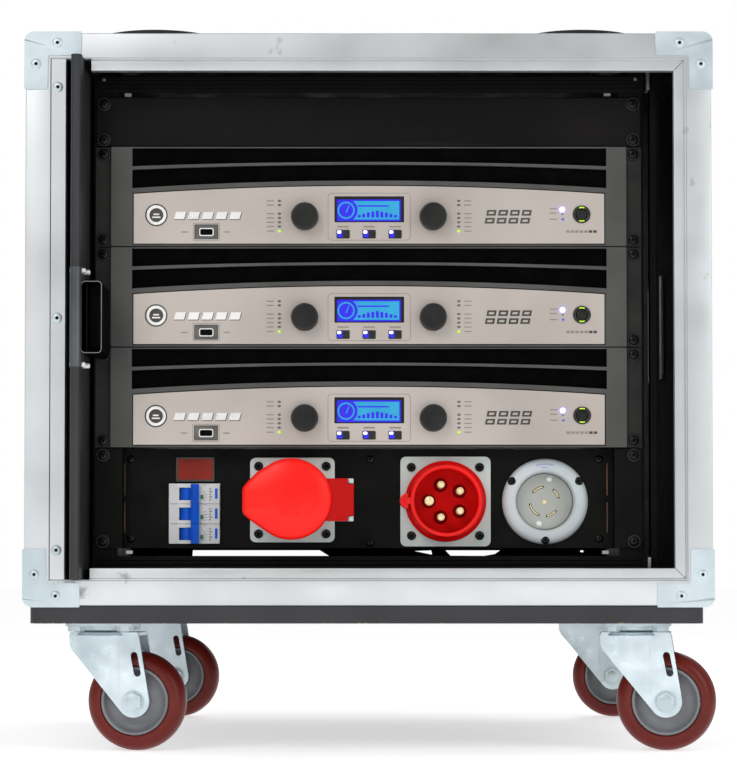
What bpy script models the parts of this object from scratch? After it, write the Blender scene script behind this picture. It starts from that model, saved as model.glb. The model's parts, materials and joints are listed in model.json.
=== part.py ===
"""Wheeled flight case with a shock-mounted 19-inch rack: three power amplifiers over a power panel.

Metres, +Z up. X runs to the right and +Y to the back, as seen from the open front. The origin is on
the floor, midway across the case and midway between the stowed door's front edge and the rear frame.
"""

import math

import bmesh
import bpy
from mathutils import Matrix, Vector

# Clearances
GAP = 0.0003
OVERLAP = 0.001

# Case: a plywood tunnel held by an aluminium frame at each end
CASE_WIDTH = 0.595
CASE_BOTTOM = 0.129
CASE_TOP = 0.626
CASE_DEPTH = 0.700
DOOR_PROUD = 0.025
HALF_WIDTH = CASE_WIDTH / 2
FRONT_Y = (DOOR_PROUD - CASE_DEPTH) / 2
REAR_Y = (DOOR_PROUD + CASE_DEPTH) / 2
PANEL_INSET = 0.0025
WALL = 0.009
FRAME_FACE = 0.012
FRAME_FLANGE = 0.030
FLANGE_THICKNESS = PANEL_INSET - GAP
LIP_WIDTH = 0.010
LIP_STEP = 0.0025
OPENING_LEFT = -0.2624
OPENING_RIGHT = 0.2650
OPENING_BOTTOM = 0.1606
OPENING_TOP = 0.5933
FLOOR_Z = CASE_BOTTOM + PANEL_INSET + WALL
ROOF_Z = CASE_TOP - PANEL_INSET - WALL

# Base board under the case
BOARD_LEFT = -0.293
BOARD_RIGHT = 0.290
BOARD_THICKNESS = 0.015
BOARD_TOP = CASE_BOTTOM - GAP
BOARD_BOTTOM = BOARD_TOP - BOARD_THICKNESS
BOARD_CORNER = 0.012

# Casters
WHEEL_RADIUS = 0.044
WHEEL_WIDTH = 0.031
WHEEL_TRAIL = 0.030
CASTER_X = 0.2345
CASTER_FRONT_Y = FRONT_Y + 0.077
CASTER_SPACING_Y = 0.545
CASTER_YAW = math.radians(-7.0)
PLATE_WIDTH = 0.061
PLATE_LENGTH = 0.095
PLATE_THICKNESS = 0.0025
RACE_RADIUS = 0.0275
RACE_HEIGHT = 0.0050
CROWN_TOP = 0.1055
CROWN_THICKNESS = 0.004
LEG_INNER = 0.0172
LEG_THICKNESS = 0.003
AXLE_RADIUS = 0.005
HUB_RADIUS = 0.0295

# Stacking cups on the roof
CUP_X = 0.1895
CUP_FROM_END = 0.100
CUP_RADIUS = 0.058
CUP_HEIGHT = 0.0142

# 19-inch rack: 44.45 mm units, and panels 482.6 mm wide
RACK_UNIT = 0.04445
RACK_BOTTOM = 0.1785
EAR_HALF = 0.2413
PANEL_THICKNESS = 0.003
PANEL_CLEAR = 0.0004
RACK_FACE_Y = FRONT_Y + 0.052
RACK_BACK_Y = 0.140
RACK_SIDE = 0.2415
SIDE_SHEET = 0.002
RAIL_FLANGE = 0.020
BAR_DEPTH = 0.030
FRAME_LOW = 0.1560
BAR_LOW_TOP = 0.1722
BAR_HIGH_BOTTOM = 0.5830
FRAME_HIGH = 0.5985
MOUNT_RADIUS = 0.012
MOUNT_X = 0.212
POWER_PANEL_Z = RACK_BOTTOM
AMPLIFIER_Z = [RACK_BOTTOM + 2 * RACK_UNIT * (number + 1) for number in range(3)]
BLANK_PANEL_Z = RACK_BOTTOM + 8 * RACK_UNIT

# Amplifier, heights measured from its bottom edge
AMP_HEIGHT = 2 * RACK_UNIT
AMP_HALF = 0.2205
AMP_DEPTH = 0.400
AMP_SHEET = 0.0015
AMP_BLOWER_HALF = 0.030
VENT_DEPTH = 0.016
VENT_HALF = 0.207
FASCIA_THICKNESS = 0.004
FASCIA_LEFT = -0.2074
FASCIA_RIGHT = 0.2082
FASCIA_Y = RACK_FACE_Y - GAP - FASCIA_THICKNESS
KNOB_X = (-0.0562, 0.0570)
KNOB_Z = 0.0259
KNOB_RADIUS = 0.012
KNOB_LENGTH = 0.014
SHAFT_RADIUS = 0.003
MENU_X = (-0.0224, 0.0006, 0.0235)
MENU_Z = 0.0110
MENU_WIDTH = 0.0110
MENU_HEIGHT = 0.0070
MENU_PROUD = 0.0015
MENU_REACH = 0.0026
POWER_X = 0.1883
POWER_Z = 0.0285
POWER_RADIUS = 0.0049

# Power panel: its face sits back between the rack ears
TRAY_HALF = 0.2190
TRAY_DEPTH = 0.018
TRAY_SHEET = 0.002
TRAY_Y = RACK_FACE_Y + TRAY_DEPTH
BREAKER_LEFT = -0.1771
BREAKER_RIGHT = -0.1320
BREAKER_LOW = 0.1828
BREAKER_HIGH = 0.2360
BREAKER_PROUD = 0.004
BREAKER_DEPTH = 0.060
TOGGLE_X = -0.1610
TOGGLE_Y = TRAY_Y + 0.0025
TOGGLE_RADIUS = 0.0062
TOGGLE_LENGTH = 0.016
TOGGLE_LEAN = math.radians(35.0)
SOCKET_AT = (-0.0675, 0.2217)
SOCKET_FLANGE = 0.075
SOCKET_REACH = 0.0455
COVER_RADIUS = 0.0356
COVER_THICKNESS = 0.0042
COVER_TIP_X = -0.1100
HINGE_X = -0.0155
HINGE_LOW = 0.2020
HINGE_HIGH = 0.2400
INLET_AT = (0.0683, 0.2204)
INLET_FLANGE = 0.079
INLET_REACH = 0.0375
PIN_CIRCLE = 0.015
OUTLET_AT = (0.1567, 0.2205)
OUTLET_RADIUS = 0.0381
FLANGE_THICK = 0.0035
REAR_REACH = 0.050

# Pocket door, stowed edge-on at the left of the case
DOOR_LEFT = -0.2559
DOOR_RIGHT = -0.2469
DOOR_BOTTOM = 0.1520
DOOR_TOP = 0.6035
DOOR_FRONT = FRONT_Y - DOOR_PROUD
DOOR_DEPTH = 0.530
LATCH_RIGHT = -0.2290
LATCH_LOW = 0.3460
LATCH_HIGH = 0.4080
NOTCH_RIGHT = -0.2408
RAIL_RIGHT = -0.2450
RAIL_LEFT = -0.2578
RAIL_LIP = 0.008

# Carrying handles, recessed in both side walls
HANDLE_Y = 0.020
HANDLE_Z = 0.395
DISH_HALF_Y = 0.075
DISH_HALF_Z = 0.060
DISH_RIM = 0.010
DISH_DEPTH = 0.0105
DISH_SHEET = 0.0012
GRIP_HALF = 0.048
GRIP_DROP = 0.066
BAR_RADIUS = 0.0042
PIVOT_Z = HANDLE_Z + 0.036


def clear_scene():
    for obj in list(bpy.data.objects):
        bpy.data.objects.remove(obj, do_unlink=True)


def new_collection(name):
    collection = bpy.data.collections.new(name)
    bpy.context.scene.collection.children.link(collection)
    return collection


def make_material(name, colour, roughness, metallic=0.0):
    material = bpy.data.materials.new(name)
    material.use_nodes = True
    shader = material.node_tree.nodes["Principled BSDF"]
    shader.inputs["Base Color"].default_value = (*colour, 1.0)
    shader.inputs["Roughness"].default_value = roughness
    shader.inputs["Metallic"].default_value = metallic
    material.diffuse_color = (*colour, 1.0)
    return material


clear_scene()
PARTS = new_collection("amplifier_rack_case")
CUTTERS = new_collection("cutters")
PANEL_BLACK = make_material("panel_black", (0.02, 0.02, 0.022), 0.6)
ALUMINIUM = make_material("aluminium", (0.62, 0.64, 0.65), 0.35, 1.0)
BOARD_GREY = make_material("board_grey", (0.03, 0.03, 0.034), 0.65)
CUP_BLACK = make_material("cup_black", (0.02, 0.02, 0.02), 0.5)
RACK_BLACK = make_material("rack_black", (0.015, 0.015, 0.015), 0.45)
AMP_GREY = make_material("amp_grey", (0.07, 0.07, 0.068), 0.5)
FASCIA_SILVER = make_material("fascia_silver", (0.42, 0.36, 0.31), 0.4, 0.6)
BREAKER_GREY = make_material("breaker_grey", (0.6, 0.62, 0.63), 0.4)
SOCKET_RED = make_material("socket_red", (0.6, 0.01, 0.01), 0.35)
COVER_RED = make_material("cover_red", (0.9, 0.03, 0.01), 0.35)
OUTLET_WHITE = make_material("outlet_white", (0.62, 0.65, 0.68), 0.4)
TOGGLE_BLUE = make_material("toggle_blue", (0.0, 0.09, 0.5), 0.35)
KNOB_BLACK = make_material("knob_black", (0.02, 0.02, 0.02), 0.5)
ZINC = make_material("zinc", (0.72, 0.8, 0.84), 0.3, 1.0)
TYRE_RED = make_material("tyre_red", (0.2, 0.025, 0.015), 0.35)
DOOR_GREY = make_material("door_grey", (0.04, 0.04, 0.045), 0.5)
DISH_STEEL = make_material("dish_steel", (0.6, 0.64, 0.66), 0.35, 1.0)
GRIP_BLACK = make_material("grip_black", (0.02, 0.02, 0.02), 0.7)


# Building blocks. A shape with a material is a part, and one without is a hidden tool.


def add(name, mesh, material=None, at=(0.0, 0.0, 0.0), turn=(0.0, 0.0, 0.0)):
    obj = bpy.data.objects.new(name, mesh)
    obj.location = at
    obj.rotation_euler = turn
    if material is None:
        CUTTERS.objects.link(obj)
        obj.hide_render = True
        obj.display_type = "WIRE"
    else:
        PARTS.objects.link(obj)
        mesh.materials.append(material)
    return obj


def finish_mesh(bm, name):
    mesh = bpy.data.meshes.new(name)
    bmesh.ops.recalc_face_normals(bm, faces=bm.faces)
    bm.to_mesh(mesh)
    bm.free()
    return mesh


def block(name, low, high, material=None, **place):
    """A box from its lowest to its highest corner."""
    bm = bmesh.new()
    bmesh.ops.create_cube(bm, size=1.0)
    bmesh.ops.scale(bm, vec=Vector(high) - Vector(low), verts=bm.verts)
    bmesh.ops.translate(bm, vec=(Vector(high) + Vector(low)) / 2, verts=bm.verts)
    return add(name, finish_mesh(bm, name), material, **place)


def rod(name, start, end, radius, material=None, sides=20, **place):
    """A round bar between two points."""
    bm = bmesh.new()
    along = Vector(end) - Vector(start)
    bmesh.ops.create_cone(
        bm, cap_ends=True, segments=sides, radius1=radius, radius2=radius, depth=along.length
    )
    turn = Vector((0.0, 0.0, 1.0)).rotation_difference(along).to_matrix().to_4x4()
    centre = Matrix.Translation((Vector(start) + Vector(end)) / 2)
    bmesh.ops.transform(bm, matrix=centre @ turn, verts=bm.verts)
    return add(name, finish_mesh(bm, name), material, **place)


def turned(name, profile, material=None, sides=32, closed=False, **place):
    """A profile of (radius, height) points, swept round Z. Its outer side runs from the top down."""
    bm = bmesh.new()
    points = [bm.verts.new((radius, 0.0, height)) for radius, height in profile]
    for first, second in zip(points, points[1:]):
        bm.edges.new((first, second))
    if closed:
        bm.edges.new((points[-1], points[0]))
    mesh = bpy.data.meshes.new(name)
    bm.to_mesh(mesh)
    bm.free()
    obj = add(name, mesh, material, **place)
    screw = obj.modifiers.new("Turn", "SCREW")
    screw.steps = sides
    screw.render_steps = sides
    screw.use_merge_vertices = True
    screw.merge_threshold = 0.00001
    screw.use_smooth_shade = True
    return obj


def outline(name, points, low, high, material=None, plan=False, **place):
    """A flat outline given thickness: (x, z) points along Y, or with plan (x, y) points along Z."""
    curve = bpy.data.curves.new(name, "CURVE")
    curve.dimensions = "2D"
    curve.fill_mode = "BOTH"
    curve.extrude = (high - low) / 2
    spline = curve.splines.new("POLY")
    spline.points.add(len(points) - 1)
    spline.use_cyclic_u = True
    for point, (across, up) in zip(spline.points, points):
        point.co = (across, up, 0.0, 1.0)
    drawing = bpy.data.objects.new(name + "_outline", curve)
    CUTTERS.objects.link(drawing)
    middle = (low + high) / 2
    if plan:
        drawing.matrix_world = Matrix.Translation((0.0, 0.0, middle))
    else:
        upright = Matrix.Rotation(math.pi / 2, 4, "X")
        drawing.matrix_world = Matrix.Translation((0.0, middle, 0.0)) @ upright
    bpy.context.view_layer.update()
    evaluated = drawing.evaluated_get(bpy.context.evaluated_depsgraph_get())
    flat = bpy.data.meshes.new_from_object(evaluated)
    bm = bmesh.new()
    bm.from_mesh(flat)
    bmesh.ops.remove_doubles(bm, verts=bm.verts, dist=0.00001)
    bmesh.ops.transform(bm, matrix=drawing.matrix_world, verts=bm.verts)
    bpy.data.objects.remove(drawing, do_unlink=True)
    return add(name, finish_mesh(bm, name), material, **place)


def combine(part, operation, tools):
    for tool in tools:
        boolean = part.modifiers.new(operation.title(), "BOOLEAN")
        boolean.operation = operation
        boolean.object = tool
    return part


def cut(part, *tools):
    return combine(part, "DIFFERENCE", tools)


def join(part, *tools):
    return combine(part, "UNION", tools)


def round_edges(part, width, segments=2):
    bevel = part.modifiers.new("Round", "BEVEL")
    bevel.width = width
    bevel.segments = segments
    bevel.limit_method = "ANGLE"
    bevel.angle_limit = math.radians(40.0)
    return part


def arc(centre, radius, start, end, steps):
    """Points on a circle from one angle to another, both in degrees."""
    angles = [math.radians(start + (end - start) * step / steps) for step in range(steps + 1)]
    return [(centre[0] + radius * math.cos(a), centre[1] + radius * math.sin(a)) for a in angles]


def rounded_square(centre, width, height, radius):
    """The outline of a rectangle with round corners."""
    points = []
    for quarter, (side, level) in enumerate(((1, 1), (-1, 1), (-1, -1), (1, -1))):
        corner = (centre[0] + side * (width / 2 - radius), centre[1] + level * (height / 2 - radius))
        points += arc(corner, radius, 90 * quarter, 90 * quarter + 90, 3)
    return points


def arch(left, right, end_height, middle_height, steps=12):
    """Points along a shallow arch, from left to right."""
    points = []
    for step in range(steps + 1):
        across = 2 * step / steps - 1
        height = middle_height - (middle_height - end_height) * across**2
        points.append((left + (right - left) * step / steps, height))
    return points


def raised(points, height):
    return [(across, up + height) for across, up in points]


# The case


def make_case_shell():
    half = HALF_WIDTH - PANEL_INSET
    front = FRONT_Y + FRAME_FACE
    rear = REAR_Y - FRAME_FACE
    shell = block(
        "case_shell",
        (-half, front, CASE_BOTTOM + PANEL_INSET),
        (half, rear, CASE_TOP - PANEL_INSET),
        PANEL_BLACK,
    )
    inside = block(
        "case_inside",
        (WALL - half, front - OVERLAP, FLOOR_Z),
        (half - WALL, rear + OVERLAP, ROOF_Z),
    )
    handle_holes = block(
        "handle_holes",
        (-HALF_WIDTH, HANDLE_Y - DISH_HALF_Y + DISH_RIM, HANDLE_Z - DISH_HALF_Z + DISH_RIM),
        (HALF_WIDTH, HANDLE_Y + DISH_HALF_Y - DISH_RIM, HANDLE_Z + DISH_HALF_Z - DISH_RIM),
    )
    cut(shell, inside, handle_holes)


def frame_ring(name, end_y, inward, opening_left):
    """One end frame: a stepped face, and a flange that laps over the edges of the panels."""
    half = HALF_WIDTH - FLANGE_THICKNESS

    def span(near, far):
        ends = (end_y + inward * near, end_y + inward * far)
        return min(ends), max(ends)

    def slab(label, left, right, bottom, top, near, far):
        low_y, high_y = span(near, far)
        return block(label, (left, low_y, bottom), (right, high_y, top))

    low_y, high_y = span(0.0, FRAME_FLANGE)
    ring = block(
        name, (-HALF_WIDTH, low_y, CASE_BOTTOM), (HALF_WIDTH, high_y, CASE_TOP), ALUMINIUM
    )
    pocket = slab(
        name + "_pocket",
        -half,
        half,
        CASE_BOTTOM + FLANGE_THICKNESS,
        CASE_TOP - FLANGE_THICKNESS,
        FRAME_FACE - GAP,
        FRAME_FLANGE + OVERLAP,
    )
    opening = slab(
        name + "_opening",
        opening_left,
        OPENING_RIGHT,
        OPENING_BOTTOM,
        OPENING_TOP,
        -OVERLAP,
        FRAME_FLANGE,
    )
    step = slab(
        name + "_step",
        opening_left - (LIP_WIDTH if opening_left == -OPENING_RIGHT else 0.0),
        OPENING_RIGHT + LIP_WIDTH,
        OPENING_BOTTOM - LIP_WIDTH,
        OPENING_TOP + LIP_WIDTH,
        -OVERLAP,
        LIP_STEP,
    )
    return cut(ring, pocket, opening, step)


def make_frames():
    front = frame_ring("front_frame", FRONT_Y, 1, OPENING_LEFT)
    door_slot = block(
        "door_slot",
        (OPENING_LEFT, FRONT_Y - OVERLAP, OPENING_BOTTOM - LIP_WIDTH + 0.0009),
        (NOTCH_RIGHT, FRONT_Y + FRAME_FLANGE, OPENING_TOP + LIP_WIDTH + 0.0003),
    )
    cut(front, door_slot)
    frame_ring("rear_frame", REAR_Y, -1, -OPENING_RIGHT)


def make_base_board():
    corners = rounded_square(
        ((BOARD_LEFT + BOARD_RIGHT) / 2, (FRONT_Y + REAR_Y) / 2),
        BOARD_RIGHT - BOARD_LEFT,
        CASE_DEPTH - 2 * GAP,
        BOARD_CORNER,
    )
    outline("base_board", corners, BOARD_BOTTOM, BOARD_TOP, BOARD_GREY, plan=True)


def make_stacking_cups():
    base = CASE_TOP - PANEL_INSET + GAP
    profile = [
        (0.0, 0.0022),
        (0.046, 0.0022),
        (0.0500, CUP_HEIGHT),
        (0.0530, CUP_HEIGHT),
        (0.0560, 0.0030),
        (CUP_RADIUS, 0.0),
        (0.0, 0.0),
    ]
    for end, y in (("front", FRONT_Y + CUP_FROM_END), ("rear", REAR_Y - CUP_FROM_END)):
        for side, x in (("left", -CUP_X), ("right", CUP_X)):
            turned(f"stacking_cup_{end}_{side}", profile, CUP_BLACK, sides=28, at=(x, y, base))


# Casters, modelled round their swivel axis with the wheel trailing along local X


def caster_places():
    for end, y in (("front", CASTER_FRONT_Y), ("rear", CASTER_FRONT_Y + CASTER_SPACING_Y)):
        for side, x in (("left", -CASTER_X), ("right", CASTER_X)):
            yield f"{end}_{side}", (x, y, 0.0)


def make_caster_plate(place, at):
    top = BOARD_BOTTOM - GAP
    plate = block(
        f"caster_plate_{place}",
        (-PLATE_WIDTH / 2, -PLATE_LENGTH / 2, top - PLATE_THICKNESS),
        (PLATE_WIDTH / 2, PLATE_LENGTH / 2, top),
        ZINC,
        at=at,
    )
    race_top = top - PLATE_THICKNESS
    crown_bottom = CROWN_TOP - CROWN_THICKNESS
    kingpin = [
        (0.0, race_top + OVERLAP),
        (RACE_RADIUS, race_top + OVERLAP),
        (RACE_RADIUS, race_top - RACE_HEIGHT + 0.001),
        (RACE_RADIUS - 0.002, CROWN_TOP + GAP),
        (0.006, CROWN_TOP + GAP),
        (0.006, crown_bottom - GAP),
        (0.010, crown_bottom - GAP),
        (0.009, crown_bottom - 0.0035),
        (0.0, crown_bottom - 0.0035),
    ]
    join(plate, turned("kingpin", kingpin, sides=24, at=at))


def leg_outline():
    """One fork leg: slanted front edge, steep back edge and a round end about the axle."""
    axle = (WHEEL_TRAIL, WHEEL_RADIUS)
    crown = CROWN_TOP - CROWN_THICKNESS
    front_edge = [(-0.0265, crown + 0.001), (-0.0265, 0.0930)]
    return [*front_edge, *arc(axle, 0.014, 216, 368, 8), (0.0345, crown + 0.001)]


def make_caster_fork(place, at):
    turn = (0.0, 0.0, CASTER_YAW)
    crown_bottom = CROWN_TOP - CROWN_THICKNESS
    outer = LEG_INNER + LEG_THICKNESS
    fork = turned(
        f"caster_fork_{place}",
        [
            (0.0, CROWN_TOP),
            (0.0280, CROWN_TOP),
            (0.0290, CROWN_TOP - 0.001),
            (0.0290, crown_bottom),
            (0.0, crown_bottom),
        ],
        ZINC,
        sides=24,
        at=at,
        turn=turn,
    )
    bridge = block(
        "fork_bridge",
        (-0.0265, -outer, crown_bottom + 0.0002),
        (0.0345, outer, CROWN_TOP - 0.0003),
        at=at,
        turn=turn,
    )
    join(fork, bridge)
    for side in (-1, 1):
        ends = sorted((side * LEG_INNER, side * outer))
        join(fork, outline("fork_leg", leg_outline(), *ends, at=at, turn=turn))
    hole = rod(
        "kingpin_hole",
        (0.0, 0.0, crown_bottom - OVERLAP),
        (0.0, 0.0, CROWN_TOP + OVERLAP),
        0.0065,
        at=at,
        turn=turn,
    )
    slot_foot = (WHEEL_TRAIL + 0.0040, 0.070)
    slot_head = (WHEEL_TRAIL + 0.0010, 0.084)
    slot_outline = [*arc(slot_head, 0.003, 12, 192, 4), *arc(slot_foot, 0.003, 192, 372, 4)]
    slot = outline("fork_slot", slot_outline, -outer - OVERLAP, outer + OVERLAP, at=at, turn=turn)
    cut(fork, hole, slot)
    bolt_end = outer + 0.0045
    axle = rod(
        "axle",
        (WHEEL_TRAIL, -bolt_end + OVERLAP, WHEEL_RADIUS),
        (WHEEL_TRAIL, bolt_end - OVERLAP, WHEEL_RADIUS),
        AXLE_RADIUS,
        sides=16,
        at=at,
        turn=turn,
    )
    join(fork, axle)
    for side in (-1, 1):
        head = rod(
            "axle_head",
            (WHEEL_TRAIL, side * (outer - OVERLAP), WHEEL_RADIUS),
            (WHEEL_TRAIL, side * bolt_end, WHEEL_RADIUS),
            0.0086,
            sides=6,
            at=at,
            turn=turn,
        )
        join(fork, head)


def make_caster_wheel(place, at):
    half = WHEEL_WIDTH / 2
    side = [
        (AXLE_RADIUS + GAP, half),
        (0.0120, half),
        (0.0140, half - 0.006),
        (HUB_RADIUS - 0.002, half - 0.006),
        (HUB_RADIUS, half - 0.001),
        (0.0410, half - 0.0025),
    ]
    mirrored = [(radius, -height) for radius, height in reversed(side)]
    profile = [*side, (WHEEL_RADIUS, 0.0), *mirrored]
    centre = Vector(at) + Matrix.Rotation(CASTER_YAW, 3, "Z") @ Vector((WHEEL_TRAIL, 0.0, 0.0))
    centre.z = WHEEL_RADIUS
    turned(
        f"caster_wheel_{place}",
        profile,
        TYRE_RED,
        sides=28,
        closed=True,
        at=centre,
        turn=(math.pi / 2, 0.0, CASTER_YAW),
    )


def make_casters():
    for place, at in caster_places():
        make_caster_plate(place, at)
        make_caster_fork(place, at)
        make_caster_wheel(place, at)


# The rack and its panels


def make_rack_frame():
    """Two side sheets with folded rails, four cross bars, and eight rubber shock mounts."""
    front = RACK_FACE_Y + PANEL_THICKNESS + GAP
    outer = RACK_SIDE + SIDE_SHEET
    frame = block(
        "rack_frame", (-outer, front, FRAME_LOW), (outer, RACK_BACK_Y, FRAME_HIGH), RACK_BLACK
    )
    hollow = block(
        "rack_hollow",
        (-RACK_SIDE, front + SIDE_SHEET, BAR_LOW_TOP),
        (RACK_SIDE, RACK_BACK_Y - SIDE_SHEET, BAR_HIGH_BOTTOM),
    )
    bay = block(
        "rack_bay",
        (RAIL_FLANGE - RACK_SIDE, front - OVERLAP, BAR_LOW_TOP),
        (RACK_SIDE - RAIL_FLANGE, RACK_BACK_Y + OVERLAP, BAR_HIGH_BOTTOM),
    )
    between_bars = block(
        "between_bars",
        (-RACK_SIDE, front + BAR_DEPTH, FRAME_LOW - OVERLAP),
        (RACK_SIDE, RACK_BACK_Y - BAR_DEPTH, FRAME_HIGH + OVERLAP),
    )
    cut(frame, hollow, bay, between_bars)
    mount_y = (front + BAR_DEPTH / 2, RACK_BACK_Y - BAR_DEPTH / 2)
    for low, high in ((FLOOR_Z + GAP, FRAME_LOW + OVERLAP), (FRAME_HIGH - OVERLAP, ROOF_Z - GAP)):
        for x in (-MOUNT_X, MOUNT_X):
            for y in mount_y:
                join(frame, rod("shock_mount", (x, y, low), (x, y, high), MOUNT_RADIUS, sides=12))


def rack_plate(name, bottom, height, material):
    return block(
        name,
        (-EAR_HALF, RACK_FACE_Y, bottom + PANEL_CLEAR),
        (EAR_HALF, RACK_FACE_Y + PANEL_THICKNESS, bottom + height - PANEL_CLEAR),
        material,
    )


def make_blank_panel():
    round_edges(rack_plate("blank_panel", BLANK_PANEL_Z, RACK_UNIT, RACK_BLACK), 0.0006, 1)


def vent_outline(low_ends, low_middle, high_ends, high_middle):
    lower = arch(-VENT_HALF, VENT_HALF, low_ends, low_middle)
    upper = arch(-VENT_HALF, VENT_HALF, high_ends, high_middle)
    return [*lower, *reversed(upper)]


def make_amp_chassis(number, bottom):
    chassis = rack_plate(f"amp_{number}_chassis", bottom, AMP_HEIGHT, AMP_GREY)
    body = block(
        "amp_body",
        (-AMP_HALF, RACK_FACE_Y + OVERLAP, bottom + 0.0012),
        (AMP_HALF, RACK_FACE_Y + AMP_DEPTH, bottom + AMP_HEIGHT - 0.0012),
    )
    inner = AMP_HALF - AMP_SHEET
    inner_low = bottom + 0.0012 + AMP_SHEET
    inner_high = bottom + AMP_HEIGHT - 0.0012 - AMP_SHEET
    inner_front = RACK_FACE_Y + VENT_DEPTH + AMP_SHEET
    inner_back = RACK_FACE_Y + AMP_DEPTH - AMP_SHEET
    hollow = block("amp_hollow", (-inner, inner_front, inner_low), (inner, inner_back, inner_high))
    blower_hole = block(
        "blower_hole",
        (-AMP_BLOWER_HALF, inner_back - OVERLAP, inner_low + 0.012),
        (AMP_BLOWER_HALF, inner_back + 2 * AMP_SHEET, inner_high - 0.012),
    )
    join(chassis, body)
    cut(chassis, hollow, blower_hole)
    for heights in ((0.0518, 0.0586, 0.0683, 0.0728), (0.0713, 0.0751, 0.0865, 0.0865)):
        vent = raised(vent_outline(*heights), bottom)
        cut(chassis, outline("vent", vent, RACK_FACE_Y - OVERLAP, RACK_FACE_Y + VENT_DEPTH))


def make_amp_fascia(number, bottom):
    top = arch(FASCIA_LEFT, FASCIA_RIGHT, 0.0467, 0.0538)
    shape = raised([(FASCIA_LEFT, 0.0027), (FASCIA_RIGHT, 0.0027), *reversed(top)], bottom)
    back = FASCIA_Y + FASCIA_THICKNESS
    fascia = outline(f"amp_{number}_fascia", shape, FASCIA_Y, back, FASCIA_SILVER)
    low_y = FASCIA_Y - OVERLAP
    high_y = back + OVERLAP
    for x in KNOB_X:
        ends = [(x, y, bottom + KNOB_Z) for y in (low_y, high_y)]
        cut(fascia, rod("shaft_hole", *ends, SHAFT_RADIUS + 0.0004, sides=12))
    for x in MENU_X:
        half_width = MENU_WIDTH / 2 + GAP
        half_height = MENU_HEIGHT / 2 + GAP
        z = bottom + MENU_Z
        low = (x - half_width, low_y, z - half_height)
        high = (x + half_width, high_y, z + half_height)
        cut(fascia, block("menu_hole", low, high))
    z = bottom + POWER_Z
    power_hole = rod("power_hole", (POWER_X, low_y, z), (POWER_X, high_y, z), POWER_RADIUS + GAP)
    display_hole = block(
        "display_hole", (-0.0301, low_y, bottom + 0.0215), (0.0315, high_y, bottom + 0.0446)
    )
    port_hole = block(
        "port_hole", (-0.1538, low_y, bottom + 0.0065), (-0.1326, high_y, bottom + 0.0197)
    )
    cut(fascia, power_hole, display_hole, port_hole)


def facing_front(name, profile, material, x, z, sides):
    """A turned piece on the fascia: heights in its profile stand out from the fascia's face."""
    return turned(
        name, profile, material, sides=sides, at=(x, FASCIA_Y, z), turn=(math.pi / 2, 0.0, 0.0)
    )


def make_amp_controls(number, bottom):
    knob = [
        (0.0, KNOB_LENGTH + GAP),
        (KNOB_RADIUS - 0.001, KNOB_LENGTH + GAP),
        (KNOB_RADIUS, KNOB_LENGTH - 0.0006),
        (KNOB_RADIUS, GAP),
        (SHAFT_RADIUS, GAP),
        (SHAFT_RADIUS, -MENU_REACH),
        (0.0, -MENU_REACH),
    ]
    for side, x in zip(("left", "right"), KNOB_X):
        facing_front(f"amp_{number}_knob_{side}", knob, KNOB_BLACK, x, bottom + KNOB_Z, 24)
    for side, x in zip(("left", "middle", "right"), MENU_X):
        low = (-MENU_WIDTH / 2, -MENU_PROUD, -MENU_HEIGHT / 2)
        high = (MENU_WIDTH / 2, MENU_REACH, MENU_HEIGHT / 2)
        at = (x, FASCIA_Y, bottom + MENU_Z)
        block(f"amp_{number}_menu_button_{side}", low, high, KNOB_BLACK, at=at)
    power = [
        (0.0, 0.0018),
        (0.0030, 0.0018),
        (0.0034, 0.0010),
        (POWER_RADIUS, 0.0008),
        (POWER_RADIUS, -MENU_REACH),
        (0.0, -MENU_REACH),
    ]
    facing_front(f"amp_{number}_power_button", power, KNOB_BLACK, POWER_X, bottom + POWER_Z, 20)


def make_amplifiers():
    for number, bottom in enumerate(reversed(AMPLIFIER_Z), start=1):
        make_amp_chassis(number, bottom)
        make_amp_fascia(number, bottom)
        make_amp_controls(number, bottom)


# The power panel and what it carries


def make_power_panel():
    """One folded sheet: an ear, a return, the set-back face, a return and an ear."""
    ear_back = RACK_FACE_Y + PANEL_THICKNESS
    face_back = TRAY_Y + TRAY_SHEET
    inner = TRAY_HALF - TRAY_SHEET
    half = [
        (EAR_HALF, RACK_FACE_Y),
        (EAR_HALF, ear_back),
        (TRAY_HALF, ear_back),
        (TRAY_HALF, face_back),
    ]
    front_half = [(inner, TRAY_Y), (inner, RACK_FACE_Y)]
    section = [
        *half,
        *[(-x, y) for x, y in reversed(half)],
        *[(-x, y) for x, y in reversed(front_half)],
        *front_half,
    ]
    low = POWER_PANEL_Z + PANEL_CLEAR
    high = POWER_PANEL_Z + AMP_HEIGHT - PANEL_CLEAR
    panel = outline("power_panel", section, low, high, RACK_BLACK, plan=True)
    front = TRAY_Y - OVERLAP
    back = face_back + OVERLAP
    breaker_hole = block(
        "breaker_hole",
        (BREAKER_LEFT - GAP, front, BREAKER_LOW - GAP),
        (BREAKER_RIGHT + GAP, back, BREAKER_HIGH + GAP),
    )
    cut(panel, breaker_hole)
    for (x, z), radius in ((SOCKET_AT, 0.0312), (INLET_AT, 0.0312), (OUTLET_AT, 0.0292)):
        cut(panel, rod("socket_hole", (x, front, z), (x, back, z), radius, sides=32))


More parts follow.
